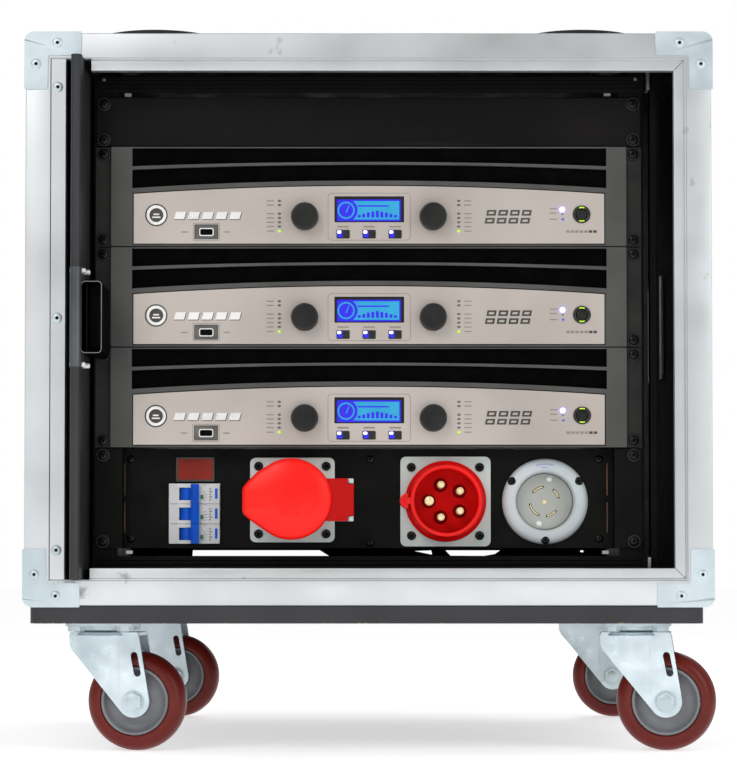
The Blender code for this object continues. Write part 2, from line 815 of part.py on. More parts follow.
def make_breaker():
    front = TRAY_Y - BREAKER_PROUD
    body = block(
        "breaker_body",
        (BREAKER_LEFT, front, BREAKER_LOW),
        (BREAKER_RIGHT, TRAY_Y + BREAKER_DEPTH, BREAKER_HIGH),
        BREAKER_GREY,
    )
    pocket = block(
        "toggle_pocket",
        (TOGGLE_X - 0.0110, front - OVERLAP, BREAKER_LOW + 0.0015),
        (TOGGLE_X + 0.0110, TOGGLE_Y + TOGGLE_RADIUS + 0.001, BREAKER_HIGH - 0.0015),
    )
    cut(body, pocket)
    middle = (BREAKER_LOW + BREAKER_HIGH) / 2
    half = (BREAKER_HIGH - BREAKER_LOW) / 2
    place = {"at": (TOGGLE_X, TOGGLE_Y, middle), "turn": (0.0, 0.0, TOGGLE_LEAN)}
    ends = [(0.0, 0.0, sign * (half - 0.0022)) for sign in (-1, 1)]
    toggle = rod("breaker_toggle", *ends, TOGGLE_RADIUS, TOGGLE_BLUE, sides=20, **place)
    lever = block(
        "lever", (-0.002, -TOGGLE_LENGTH, 0.0025 - half), (0.002, 0.0, half - 0.0025), **place
    )
    tie_bar = block(
        "tie_bar", (-0.0032, -TOGGLE_LENGTH, -half), (0.0032, -TOGGLE_LENGTH + 0.005, half), **place
    )
    join(toggle, lever, tie_bar)


def socket_base(name, centre, width, corner):
    """A square flange on the panel with a round housing through it."""
    flange = rounded_square(centre, width, width, corner)
    back = TRAY_Y - GAP
    base = outline(name, flange, back - FLANGE_THICK, back, SOCKET_RED)
    ends = [(centre[0], y, centre[1]) for y in (back - OVERLAP, TRAY_Y + REAR_REACH)]
    return join(base, rod(name + "_housing", *ends, 0.0308, sides=32))


def socket_front(name, centre, profile):
    """A turned front: heights in its profile stand out from the face of the power panel."""
    return turned(
        name, profile, sides=32, at=(centre[0], TRAY_Y, centre[1]), turn=(math.pi / 2, 0.0, 0.0)
    )


def make_covered_socket():
    socket = socket_base("covered_socket", SOCKET_AT, SOCKET_FLANGE, 0.005)
    collar = [
        (0.0, SOCKET_REACH - 0.003),
        (0.0225, SOCKET_REACH - 0.003),
        (0.0225, 0.010),
        (0.0268, 0.010),
        (0.0268, SOCKET_REACH),
        (0.0325, SOCKET_REACH),
        (0.0345, 0.002),
        (0.0, 0.002),
    ]
    join(socket, socket_front("socket_collar", SOCKET_AT, collar))
    front = TRAY_Y - SOCKET_REACH
    lug = block(
        "hinge_lug",
        (SOCKET_AT[0] + 0.0300, front + 0.001, HINGE_LOW + 0.0085),
        (HINGE_X + 0.0030, front + 0.0085, HINGE_HIGH - 0.0085),
    )
    hinge_y = front + 0.0045
    pin_ends = [(HINGE_X, hinge_y, z) for z in (HINGE_LOW, HINGE_HIGH)]
    pin = rod("hinge_pin", *pin_ends, 0.0016, sides=10)
    join(socket, lug, pin)
    make_socket_cover(front, hinge_y)


def make_socket_cover(front, hinge_y):
    place = {"at": (HINGE_X, hinge_y, 0.0)}
    centre = (SOCKET_AT[0] - HINGE_X, SOCKET_AT[1])
    tip = COVER_TIP_X - HINGE_X
    back = front - GAP - hinge_y
    disc = arc(centre, COVER_RADIUS, -120, 120, 20)
    lobe = [(tip + 0.003, 0.2340), (tip, 0.2290), (tip, 0.2135), (tip + 0.003, 0.2085)]
    cover = outline("socket_cover", [*disc, *lobe], back - COVER_THICKNESS, back, COVER_RED, **place)
    arm = block(
        "cover_arm", (-0.0190, back - 0.0036, HINGE_LOW), (0.0026, back - 0.0004, HINGE_HIGH), **place
    )
    join(cover, arm)
    for low, high in ((HINGE_LOW, HINGE_LOW + 0.008), (HINGE_HIGH - 0.008, HINGE_HIGH)):
        knuckle = block("knuckle", (-0.0035, back - 0.001, low), (0.0026, 0.0035, high), **place)
        join(cover, knuckle)
    bore = rod(
        "cover_bore",
        (0.0, 0.0, HINGE_LOW - OVERLAP),
        (0.0, 0.0, HINGE_HIGH + OVERLAP),
        0.0019,
        sides=10,
        **place,
    )
    cut(cover, bore)


def make_power_inlet():
    inlet = socket_base("power_inlet", INLET_AT, INLET_FLANGE, 0.005)
    shroud = [
        (0.0, 0.008),
        (0.0272, 0.008),
        (0.0282, INLET_REACH),
        (0.0318, INLET_REACH),
        (0.0330, 0.0200),
        (0.0358, 0.0180),
        (0.0358, 0.002),
        (0.0, 0.002),
    ]
    join(inlet, socket_front("inlet_shroud", INLET_AT, shroud))
    floor = TRAY_Y - 0.007
    for pin in range(5):
        angle = math.pi + 2 * math.pi * pin / 5
        x = INLET_AT[0] + PIN_CIRCLE * math.cos(angle)
        z = INLET_AT[1] + PIN_CIRCLE * math.sin(angle)
        radius = 0.0036 if pin == 0 else 0.0027
        join(inlet, rod("contact_pin", (x, floor, z), (x, TRAY_Y - 0.034, z), radius, sides=12))
    key = rod(
        "inlet_key",
        (INLET_AT[0] - 0.0345, TRAY_Y - 0.002, INLET_AT[1]),
        (INLET_AT[0] - 0.0345, TRAY_Y - INLET_REACH + 0.002, INLET_AT[1]),
        0.0052,
        sides=14,
    )
    join(inlet, key)


def make_locking_outlet():
    body = [
        (0.0, -0.006),
        (0.0250, -0.006),
        (0.0256, 0.0060),
        (0.0300, 0.0072),
        (0.0350, 0.0066),
        (OUTLET_RADIUS, 0.0030),
        (OUTLET_RADIUS, GAP),
        (0.0288, GAP),
        (0.0288, -REAR_REACH),
        (0.0, -REAR_REACH),
    ]
    outlet = turned(
        "locking_outlet",
        body,
        OUTLET_WHITE,
        sides=36,
        at=(OUTLET_AT[0], TRAY_Y, OUTLET_AT[1]),
        turn=(math.pi / 2, 0.0, 0.0),
    )
    place = {"at": (OUTLET_AT[0], TRAY_Y, OUTLET_AT[1])}
    for start in (28, 118, 208, 298):
        outer_edge = arc((0.0, 0.0), 0.0148, start, start + 38, 4)
        inner_edge = arc((0.0, 0.0), 0.0130, start + 38, start, 4)
        cut(outlet, outline("blade_slot", [*outer_edge, *inner_edge], 0.004, 0.012, **place))


# The pocket door and its tracks


def make_pocket_door():
    door = block(
        "pocket_door",
        (DOOR_LEFT, DOOR_FRONT, DOOR_BOTTOM),
        (DOOR_RIGHT, DOOR_FRONT + DOOR_DEPTH, DOOR_TOP),
        DOOR_GREY,
    )
    latch_front = DOOR_FRONT + 0.004
    latch = block(
        "latch_box",
        (DOOR_RIGHT - OVERLAP, latch_front, LATCH_LOW),
        (LATCH_RIGHT, RACK_FACE_Y - 0.005, LATCH_HIGH),
    )
    recess = block(
        "latch_recess",
        (DOOR_RIGHT + 0.0015, latch_front - OVERLAP, LATCH_LOW + 0.002),
        (LATCH_RIGHT - 0.0015, latch_front + 0.030, LATCH_HIGH - 0.002),
    )
    join(door, latch)
    cut(door, recess)


def make_door_track(name, low, high, groove_low, groove_high):
    front = FRONT_Y + FRAME_FACE + GAP
    back = DOOR_FRONT + DOOR_DEPTH + 0.006
    track = block(name, (RAIL_LEFT, front, low), (RAIL_RIGHT, back, high), RACK_BLACK)
    groove = block(
        name + "_groove",
        (DOOR_LEFT - 0.0005, front - OVERLAP, groove_low),
        (DOOR_RIGHT + 0.0005, back + OVERLAP, groove_high),
    )
    cut(track, groove)


def make_door_tracks():
    make_door_track(
        "door_track_bottom",
        FLOOR_Z + GAP,
        DOOR_BOTTOM + RAIL_LIP,
        DOOR_BOTTOM - 0.0005,
        DOOR_BOTTOM + RAIL_LIP + OVERLAP,
    )
    make_door_track(
        "door_track_top",
        DOOR_TOP - RAIL_LIP,
        ROOF_Z - GAP,
        DOOR_TOP - RAIL_LIP - OVERLAP,
        DOOR_TOP + 0.0005,
    )


# The carrying handles


def make_handle_dish(name, side):
    skin = HALF_WIDTH - PANEL_INSET + GAP
    rim = DISH_RIM + GAP
    floor = skin - DISH_DEPTH
    y_ends = (HANDLE_Y - DISH_HALF_Y, HANDLE_Y + DISH_HALF_Y)
    z_ends = (HANDLE_Z - DISH_HALF_Z, HANDLE_Z + DISH_HALF_Z)

    def slab(label, near, far, inset, material=None):
        ends = sorted((side * near, side * far))
        low = (ends[0], y_ends[0] + inset, z_ends[0] + inset)
        high = (ends[1], y_ends[1] - inset, z_ends[1] - inset)
        return block(label, low, high, material)

    dish = slab(name, skin, skin + DISH_SHEET, 0.0, DISH_STEEL)
    pan = slab("dish_pan", floor - DISH_SHEET, skin + DISH_SHEET / 2, rim)
    hollow = slab("dish_hollow", floor, skin + 2 * DISH_SHEET, rim + DISH_SHEET)
    join(dish, pan)
    cut(dish, hollow)


def make_handle_grip(name, side):
    """A bent bar whose two ends are its hinge pins."""
    centre_x = side * (HALF_WIDTH - PANEL_INSET - 0.0050)
    pin_end = DISH_HALF_Y - DISH_RIM - DISH_SHEET - 3 * GAP
    bend = 0.006
    corner = [
        (pin_end, 0.0),
        (GRIP_HALF + bend, 0.0),
        (GRIP_HALF + 0.0018, -0.0018),
        (GRIP_HALF, -bend),
        (GRIP_HALF, bend - GRIP_DROP),
        (GRIP_HALF - 0.0018, 0.0018 - GRIP_DROP),
        (GRIP_HALF - bend, -GRIP_DROP),
    ]
    route = [*corner, *[(-y, z) for y, z in reversed(corner)]]
    curve = bpy.data.curves.new(name, "CURVE")
    curve.dimensions = "3D"
    curve.bevel_depth = BAR_RADIUS
    curve.bevel_resolution = 2
    curve.use_fill_caps = True
    spline = curve.splines.new("POLY")
    spline.points.add(len(route) - 1)
    for point, (y, z) in zip(spline.points, route):
        point.co = (0.0, y, z, 1.0)
    handle = bpy.data.objects.new(name, curve)
    handle.location = (centre_x, HANDLE_Y, PIVOT_Z)
    curve.materials.append(GRIP_BLACK)
    PARTS.objects.link(handle)


def make_handles():
    for name, side in (("left", -1), ("right", 1)):
        make_handle_dish(f"handle_dish_{name}", side)
        make_handle_grip(f"side_handle_{name}", side)


make_case_shell()
make_frames()
make_base_board()
make_stacking_cups()
make_casters()
make_rack_frame()
make_blank_panel()
make_amplifiers()
make_power_panel()
make_breaker()
make_covered_socket()
make_power_inlet()
make_locking_outlet()
make_pocket_door()
make_door_tracks()
make_handles()
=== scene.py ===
"""The looks of a wheeled amplifier rack in a flight case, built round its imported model.

Shapes are built in millimetres, and piece() turns them into the model's metres. X runs to the right, +Y to
the back and +Z up. Places are worked out from the CAD nodes' boxes.
"""

import json
from math import cos, pi, radians, sin

import bmesh
import bpy
from mathutils import Matrix, Vector
from mathutils.geometry import tessellate_polygon


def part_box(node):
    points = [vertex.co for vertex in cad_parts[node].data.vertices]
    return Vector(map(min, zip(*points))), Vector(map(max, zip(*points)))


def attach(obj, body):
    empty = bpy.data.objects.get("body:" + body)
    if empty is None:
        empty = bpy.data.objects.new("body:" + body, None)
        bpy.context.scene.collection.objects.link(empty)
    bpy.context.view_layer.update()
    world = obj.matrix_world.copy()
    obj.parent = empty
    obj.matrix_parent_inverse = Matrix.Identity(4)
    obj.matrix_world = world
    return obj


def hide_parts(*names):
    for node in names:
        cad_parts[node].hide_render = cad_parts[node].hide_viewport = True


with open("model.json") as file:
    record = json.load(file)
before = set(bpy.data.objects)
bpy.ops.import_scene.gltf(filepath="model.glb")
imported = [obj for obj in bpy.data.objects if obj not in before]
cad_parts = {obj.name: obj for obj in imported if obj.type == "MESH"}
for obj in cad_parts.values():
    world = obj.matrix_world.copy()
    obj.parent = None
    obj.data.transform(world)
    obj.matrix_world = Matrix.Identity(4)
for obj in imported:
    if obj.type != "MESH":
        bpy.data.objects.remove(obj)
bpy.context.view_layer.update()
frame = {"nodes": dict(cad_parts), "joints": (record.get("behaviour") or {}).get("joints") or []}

MM = 0.001
UPRIGHT = Matrix.Rotation(pi / 2, 4, "X")
CORNERS = [(-1, -1), (-1, 1), (1, -1), (1, 1)]
QUARTERS = [f"{end}_{side}" for end in ("front", "rear") for side in ("left", "right")]


def span(node):
    """A CAD node's low and high corners, in millimetres."""
    low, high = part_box(node)
    return low / MM, high / MM


def joint_place(name):
    return Vector(next(joint["pos_m"] for joint in frame["joints"] if joint["name"] == name)) / MM


# Places that the CAD gives
CASE_LOW, CASE_HIGH = span("front_frame")
FRONT = CASE_LOW.y
REAR = span("rear_frame")[1].y
SHELL_LOW, SHELL_HIGH = span("case_shell")
EAR_LOW = span("blank_panel")[0]
RACK_FACE = EAR_LOW.y
UNIT = 44.45
AMPS = {amp: span(f"{amp}_chassis")[0].z - 0.4 for amp in ("amp_1", "amp_2", "amp_3")}
FASCIA_FACE = span("amp_1_fascia")[0].y
PANEL_BOTTOM = span("power_panel")[0].z - 0.4
TRAY_FACE = span("power_panel")[1].y - 2
YAW = radians(-7)


# Materials


def colour_of(code):
    """An sRGB hex code as linear red, green, blue and alpha."""
    channels = [int(code[i : i + 2], 16) / 255 for i in (0, 2, 4)]
    return (*[c / 12.92 if c <= 0.04045 else ((c + 0.055) / 1.055) ** 2.4 for c in channels], 1)


PURE_BLACK = (0, 0, 0, 1)
PURE_WHITE = (1, 1, 1, 1)


def new_material(name):
    material = bpy.data.materials.new(name)
    material.use_nodes = True
    return material, material.node_tree, material.node_tree.nodes["Principled BSDF"]


def give(tree, node, **inputs):
    """Sets each input to a value, or links it to an output. An underscore stands for a space."""
    for name, value in inputs.items():
        socket = node.inputs[name.replace("_", " ")]
        if isinstance(value, bpy.types.NodeSocket):
            tree.links.new(value, socket)
        else:
            socket.default_value = value
    return node


def add(tree, kind, **inputs):
    return give(tree, tree.nodes.new(f"ShaderNode{kind}"), **inputs)


def noise(tree, scale, stretch=(1, 1, 1), detail=4):
    """A noise texture in the object's own coordinates, stretched along an axis for a grain."""
    mapping = add(tree, "Mapping", Vector=add(tree, "TexCoord").outputs["Object"], Scale=stretch)
    texture = add(tree, "TexNoise", Vector=mapping.outputs["Vector"], Scale=scale, Detail=detail)
    return texture.outputs["Fac"]


def ramp(tree, source, *stops):
    """A colour ramp between two (position, colour) stops."""
    node = add(tree, "ValToRGB", Fac=source)
    for element, (position, colour) in zip(node.color_ramp.elements, stops):
        element.position = position
        element.color = colour
    return node.outputs["Color"]


def mixed(tree, factor, base, other):
    mix = add(tree, "Mix")
    mix.data_type = "RGBA"
    return give(tree, mix, Factor=factor, A=base, B=other).outputs["Result"]


def bump(tree, shader, source, strength, distance):
    relief = add(tree, "Bump", Strength=strength, Distance=distance * MM, Height=source)
    give(tree, shader, Normal=relief.outputs["Normal"])


def surface(name, dark, light, rough, metal=0, patch=25, grain=900, stretch=(1, 1, 1), relief=0.15, coat=0,
            wear=None, gloss=0.5):
    """A finish: two tones in soft patches, uneven gloss, a fine grain, and scuffs of a third tone."""
    material, tree, shader = new_material(name)
    tone = ramp(tree, noise(tree, patch), (0.35, colour_of(dark)), (0.65, colour_of(light)))
    if wear:
        scuffs = ramp(tree, noise(tree, patch * 6, stretch, 8), (0.66, PURE_BLACK), (0.72, PURE_WHITE))
        tone = mixed(tree, scuffs, tone, colour_of(wear))
    middle = noise(tree, patch * 3, stretch)
    uneven = add(tree, "MapRange", Value=middle, From_Min=0.3, From_Max=0.7)
    give(tree, uneven, To_Min=rough * 0.8, To_Max=min(1, rough * 1.2))
    bump(tree, shader, noise(tree, grain, stretch, 2), relief, 0.2)
    give(tree, shader, Base_Color=tone, Roughness=uneven.outputs["Result"], Metallic=metal)
    give(tree, shader, Coat_Weight=coat, Specular_IOR_Level=gloss)
    return material


def light_surface(name, code, strength, other=None):
    """A lit surface: its glow varies a little, as an uneven backlight does."""
    material, tree, shader = new_material(name)
    tone = ramp(tree, noise(tree, 60), (0.3, colour_of(code)), (0.7, colour_of(other or code)))
    give(tree, shader, Emission_Color=tone, Emission_Strength=strength)
    give(tree, shader, Base_Color=(0.01, 0.01, 0.015, 1), Roughness=0.35)
    return material


def worn_board(name, low_z):
    """Charcoal paint, rubbed through to pale wood in a few chips along the board's lower edge."""
    material, tree, shader = new_material(name)
    paint = ramp(tree, noise(tree, 20), (0.3, colour_of("222226")), (0.7, colour_of("2e2e33")))
    split = add(tree, "SeparateXYZ", Vector=add(tree, "TexCoord").outputs["Object"])
    near = add(tree, "MapRange", Value=split.outputs["Z"], From_Min=low_z + 1.2 * MM, From_Max=low_z)
    chips = ramp(tree, noise(tree, 260, detail=8), (0.62, PURE_BLACK), (0.66, PURE_WHITE))
    both = add(tree, "Math")
    both.operation = "MULTIPLY"
    for place, factor in enumerate((near.outputs["Result"], chips)):
        tree.links.new(factor, both.inputs[place])
    wood = mixed(tree, both.outputs["Value"], paint, colour_of("a8845a"))
    bump(tree, shader, noise(tree, 500), 0.25, 0.3)
    give(tree, shader, Base_Color=wood, Roughness=0.55)
    return material


LAMINATE = surface("black_laminate", "0e0e0f", "121213", 0.5, patch=60, grain=2500, relief=0.3, gloss=0.3)
# painted shade: a dull near-black standing in for the shade inside the case, behind the amplifiers' air
# slots, at the bottom of the power panel's recess and in the door's latch housing
SHADE_BLACK = surface("painted_shade_black", "020202", "030303", 0.95, patch=20, grain=1500, relief=0.2, gloss=0.05)
ALUMINIUM = surface(
    "satin_aluminium", "c2c5c6", "d3d6d8", 0.38, 0.8, 5, 1400, (1, 1, 1), 0.06, wear="94989a"
)
ZINC = surface("bright_zinc", "bccad0", "cfdce1", 0.36, 0.45, 25, 1200, relief=0.06)
FORK_ZINC = surface("fork_zinc", "bccad1", "d8e5ea", 0.32, 0.6, 30, 900, relief=0.06)
# painted shade: a near-black for the shade inside holes and recesses, such as rivet holes, screw recesses,
# pin holes, blade slots and the port's inside; the frame's mitre seams use it as the dark of their joints
DARK_SEAM_AND_HOLE_SHADE = surface("dark_seam_and_painted_hole_shade", "030303", "060505", 0.8, gloss=0.1)
BOARD = worn_board("worn_board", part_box("base_board")[0].z)
RACK = surface("black_powder_coat", "040403", "080806", 0.55, patch=14, grain=1800, relief=0.3, gloss=0.12)
BLANK = surface(
    "brushed_black", "080706", "12100f", 0.45, 0, 9, 300, (0.05, 1, 1), 0.2, wear="1c1a18", gloss=0.12
)
EAR = surface("dark_ear", "1c1c1b", "2a2a28", 0.55, patch=30, grain=2200, relief=0.3, gloss=0.25)
BEZEL = surface("grey_bezel", "4a4a49", "545452", 0.45, 0.2, 18, 2600, relief=0.3, gloss=0.3)
FASCIA = surface("champagne_metal", "b3aaa3", "c3bab3", 0.42, 0.3, 6, 3200, relief=0.15)
LINE = surface("engraved_line", "75706a", "847e78", 0.6)
# dark print, and also the painted shadows under the name bars
MARK = surface("dark_print_and_painted_shadow", "34322f", "45423e", 0.6)
FAINT = surface("printed_faint", "82776f", "8f857c", 0.6)
SILVER = surface("bright_plate", "e4e4e2", "f6f6f4", 0.3, 0.2, relief=0.05)
BLACK = surface("satin_black", "0a0a0a", "151515", 0.42, patch=60, grain=1800, relief=0.15)
KNOB = surface("knob_black", "121212", "1e1e1d", 0.38, 0.2, 50, 1500, relief=0.1, gloss=0.4)
RUBBER = surface("rubber", "101010", "1a1a19", 0.75, patch=40, grain=1200, relief=0.4)
SCREW = surface("black_screw", "080808", "161514", 0.3, 0.6, 90, 900, relief=0.1, wear="3a3632")
STEEL = surface("plain_steel", "8b8c8c", "a7a8a8", 0.35, 1, 50, 1200, relief=0.1)
PORT = surface("port_steel", "585654", "6c6a67", 0.5, 0.2, 60)
BRASS = surface("brass", "ead9a0", "f6e8bc", 0.3, 0.25, 120, relief=0.05)
GLASS = surface("display_glass", "020204", "060609", 0.12, patch=40, relief=0.02, coat=0.5)
CUP = surface("moulded_cup", "0c0c0c", "191919", 0.5, patch=30, grain=1500, relief=0.3, wear="2b2b2b")
TYRE = surface("dark_red_urethane", "5c120a", "6c1a10", 0.34, patch=18, grain=700, relief=0.1, gloss=0.3)
HUB = surface("grey_hub", "6e7073", "808286", 0.4, patch=30, grain=1200, relief=0.12)
FLANGE = surface("grey_flange", "c8d6d2", "d4e0dc", 0.5, patch=30, grain=2000, relief=0.12, gloss=0.15)
COVER = surface("bright_red", "f81004", "ff1c0a", 0.36, patch=12, grain=1600, relief=0.08, gloss=0.3)
# painted shade: the lid's arm is one moulding with the lid, painted a darker red than the lid's
ARM_SHADE_RED = surface("arm_red_painted_shade", "a80000", "b60202", 0.4, patch=20, grain=1600, relief=0.1, gloss=0.15)
RED = surface("deep_red", "d80402", "ec0c06", 0.36, patch=20, grain=1500, relief=0.08, gloss=0.3)
DARK_RED = surface("insert_red", "c80000", "d80202", 0.5, patch=20, grain=1500, relief=0.08, gloss=0.08)
# painted shade: a darker red for the shade round the inlet pins' feet
SHADE_RED = surface("pin_foot_painted_shade_red", "6c0000", "7c0000", 0.6, patch=20, grain=1500, relief=0.08, gloss=0.05)
NYLON = surface("pale_nylon", "bec7cb", "cbd2d6", 0.38, patch=16, grain=1600, relief=0.1)
INSERT = surface("nylon_insert", "a3a69f", "b1b4ad", 0.45, patch=16, grain=1600, relief=0.15)
# painted highlight: the breaker's own grey, made lighter on the cheeks as if they catch the light
CHEEK_HIGHLIGHT = surface("breaker_cheek_painted_highlight", "cfd0d0", "dadbdb", 0.4, patch=25, grain=2200, relief=0.1)
BREAKER = surface("breaker_grey", "c1c4c5", "cfd2d3", 0.42, patch=25, grain=2200, relief=0.2)
BLUE = surface("toggle_blue", "0050c4", "0060e0", 0.38, patch=30, grain=1500, relief=0.08, gloss=0.25)
FADED_BLUE = surface("faded_blue_print", "8c9cc0", "9caccc", 0.5)
GREEN = surface("flag_green", "0a6b4a", "0f7a56", 0.4)
LENS = surface("red_lens", "701a10", "8c2c22", 0.35, patch=40, grain=500, relief=0.1, gloss=0.15)
DOOR = surface(
    "door_grey", "242426", "313234", 0.45, patch=9, grain=900, stretch=(1, 1, 0.2), relief=0.25, gloss=0.35
)
LCD_BLUE = light_surface("display_blue", "1804e4", 1, "1c0cf0")
LCD_CYAN = light_surface("display_cyan", "049cd2", 1, "20aada")
LED_BLUE = light_surface("blue_led", "6a66ff", 18)
LED_WHITE = light_surface("white_led", "b4b2ff", 7)
LED_GREEN = light_surface("green_led", "b4e028", 1.3)
LED_OFF = surface("unlit_led", "5a554f", "6b655e", 0.35)


# Mesh building


def meshes(count):
    return [bmesh.new() for _ in range(count)]


def spin(bm, profile, steps, place, closed=False):
    """Turns a profile of (radius, height) points round local Z."""
    rings = []
    for radius, height in profile:
        count = 1 if radius < 1e-7 else steps
        angles = [2 * pi * i / steps for i in range(count)]
        rings.append(
            [bm.verts.new(place @ Vector((radius * cos(a), radius * sin(a), height))) for a in angles]
        )
    pairs = list(zip(rings, rings[1:]))
    if closed:
        pairs.append((rings[-1], rings[0]))
    for upper, lower in pairs:
        for i in range(steps):
            j = (i + 1) % steps
            corners = [upper[i % len(upper)], upper[j % len(upper)]]
            corners += [lower[j % len(lower)], lower[i % len(lower)]]
            bm.faces.new(list(dict.fromkeys(corners)))


def prism(bm, outlines, low, high, place=Matrix()):
    """Thickens flat outlines, the first less the holes that follow it, from low to high on local Z."""
    flat = [[Vector((x, y, 0)) for x, y in outline] for outline in outlines]
    points = [point for outline in flat for point in outline]
    under = [bm.verts.new(place @ (point + Vector((0, 0, low)))) for point in points]
    over = [bm.verts.new(place @ (point + Vector((0, 0, high)))) for point in points]
    for corners in tessellate_polygon(flat):
        bm.faces.new([under[i] for i in corners])
        bm.faces.new([over[i] for i in reversed(corners)])
    start = 0
    for outline in flat:
        count = len(outline)
        for i in range(count):
            j = (i + 1) % count
            bm.faces.new((under[start + i], under[start + j], over[start + j], over[start + i]))
        start += count


def box(bm, low, high, place=Matrix()):
    prism(bm, [oblong(low[0], high[0], low[1], high[1])], low[2], high[2], place)


def crown(bm, outline, rings, place):
    """A lid on an outline: each ring is (share of the outline's size, height), from the rim to the top."""
    middle = Vector((sum(x for x, _ in outline), sum(y for _, y in outline))) / len(outline)
    layers = []
    for share, height in rings:
        layer = []
        for point in outline:
            at = middle + (Vector(point) - middle) * share
            layer.append(bm.verts.new(place @ Vector((at.x, at.y, height))))
        layers.append(layer)
    for lower, upper in zip(layers, layers[1:]):
        for i in range(len(outline)):
            j = (i + 1) % len(outline)
            bm.faces.new((lower[i], lower[j], upper[j], upper[i]))
    bm.faces.new(list(reversed(layers[0])))
    bm.faces.new(layers[-1])


def sweep(bm, section, path, closed):
    """Carries a section of (inset, depth) points along the corners that path(inset) gives, as (x, z)."""
    rows = [[bm.verts.new((x, depth, z)) for x, z in path(inset)] for inset, depth in section]
    count = len(rows[0])
    for here, there in zip(rows, rows[1:] + rows[:1]):
        for i in range(count if closed else count - 1):
            j = (i + 1) % count
            bm.faces.new((here[i], here[j], there[j], there[i]))
    if not closed:
        bm.faces.new([row[0] for row in rows])
        bm.faces.new([row[-1] for row in reversed(rows)])


def tube(bm, points, radius, sides=16):
    """A round bar through points that already curve smoothly."""
    rings = []
    for i, point in enumerate(points):
        ahead = points[min(i + 1, len(points) - 1)] - points[max(i - 1, 0)]
        turn = Vector((0, 0, 1)).rotation_difference(ahead.normalized()).to_matrix()
        around = [turn @ Vector((x, y, 0)) for x, y in circle(0, 0, radius, sides)]
        rings.append([bm.verts.new(point + out) for out in around])
    for here, there in zip(rings, rings[1:]):
        for k in range(sides):
            m = (k + 1) % sides
            bm.faces.new((here[k], here[m], there[m], there[k]))
    bm.faces.new(list(reversed(rings[0])))
    bm.faces.new(rings[-1])


def circle(x, z, radius, steps=32, start=0):
    angles = [start + 2 * pi * i / steps for i in range(steps)]
    return [(x + radius * cos(a), z + radius * sin(a)) for a in angles]


def arc(x, z, radius, start, end, steps):
    """Points on a circle from one angle to another, in degrees."""
    angles = [radians(start + (end - start) * i / steps) for i in range(steps + 1)]
    return [(x + radius * cos(a), z + radius * sin(a)) for a in angles]


def arc_band(outer, inner, start, end, steps):
    """A curved strip round the middle, between two radii and two angles in degrees."""
    return arc(0, 0, outer, start, end, steps) + arc(0, 0, inner, end, start, steps)


def oblong(left, right, low, high):
    return [(left, low), (right, low), (right, high), (left, high)]


def rounded(left, right, low, high, radius, steps=5):
    """A rectangle with round corners."""
    points = arc(right - radius, high - radius, radius, 0, 90, steps)
    points += arc(left + radius, high - radius, radius, 90, 180, steps)
    points += arc(left + radius, low + radius, radius, 180, 270, steps)
    return points + arc(right - radius, low + radius, radius, 270, 360, steps)


def shift(x, y, z):
    return Matrix.Translation((x, y, z))


def rotate(angle, axis):
    return Matrix.Rotation(angle, 4, axis)


def facing(x, y, z):
    """A place on a surface that faces the front: local X is right, Y is up and Z points forward."""
    return shift(x, y, z) @ UPRIGHT


def shown(name, bm, material):
    """A finished mesh as an object in the scene."""
    bmesh.ops.recalc_face_normals(bm, faces=bm.faces)
    mesh = bpy.data.meshes.new(name)
    bm.to_mesh(mesh)
    bm.free()
    mesh.materials.append(material)
    obj = bpy.data.objects.new(name, mesh)
    bpy.context.scene.collection.objects.link(obj)
    return obj


def piece(name, bm, material, body="case", bevel=0, segments=2, replaces=(), sharp=38):
    """A piece of the model, from a mesh in millimetres."""
    bmesh.ops.scale(bm, vec=(MM, MM, MM), verts=bm.verts)
    obj = shown(name, bm, material)
    obj.data.shade_smooth()
    obj.data.set_sharp_from_angle(angle=radians(sharp))
    if bevel:
        soften(obj, bevel, segments)
    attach(obj, body)
    if replaces:
        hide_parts(*replaces)


def soften(obj, width, segments=2):
    edge = obj.modifiers.new("Edges", "BEVEL")
    edge.width = width * MM
    edge.segments = segments
    edge.limit_method = "ANGLE"
    edge.angle_limit = radians(38)
    edge.harden_normals = True


def dress(node, material, bevel=0):
    """Gives a CAD node its finish, and softens its edges."""
    obj = frame["nodes"][node]
    obj.data.materials.clear()
    obj.data.materials.append(material)
    if bevel:
        obj.modifiers.new("Weld", "WELD").merge_threshold = 0.00001
        soften(obj, bevel)


# The camera, the light and the floor


def make_camera():
    data = bpy.data.cameras.new("camera")
    data.sensor_width = 36
    data.lens = 133.05
    data.shift_y = 0.10
    data.clip_start = 0.05
    data.clip_end = 60
    camera = bpy.data.objects.new("camera", data)
    camera.location = (0, FRONT * MM - 2.4511, 0.1688)
    camera.rotation_euler = (radians(90 + 1.9955), 0, 0)
    bpy.context.scene.collection.objects.link(camera)
    bpy.context.scene.camera = camera


def area_light(name, at, target, width, height, power):
    data = bpy.data.lights.new(name, "AREA")
    data.shape = "RECTANGLE"
    data.size = width
    data.size_y = height
    data.energy = power
    light = bpy.data.objects.new(name, data)
    light.location = at
    light.rotation_euler = (Vector(target) - Vector(at)).to_track_quat("-Z", "Y").to_euler()
    bpy.context.scene.collection.objects.link(light)


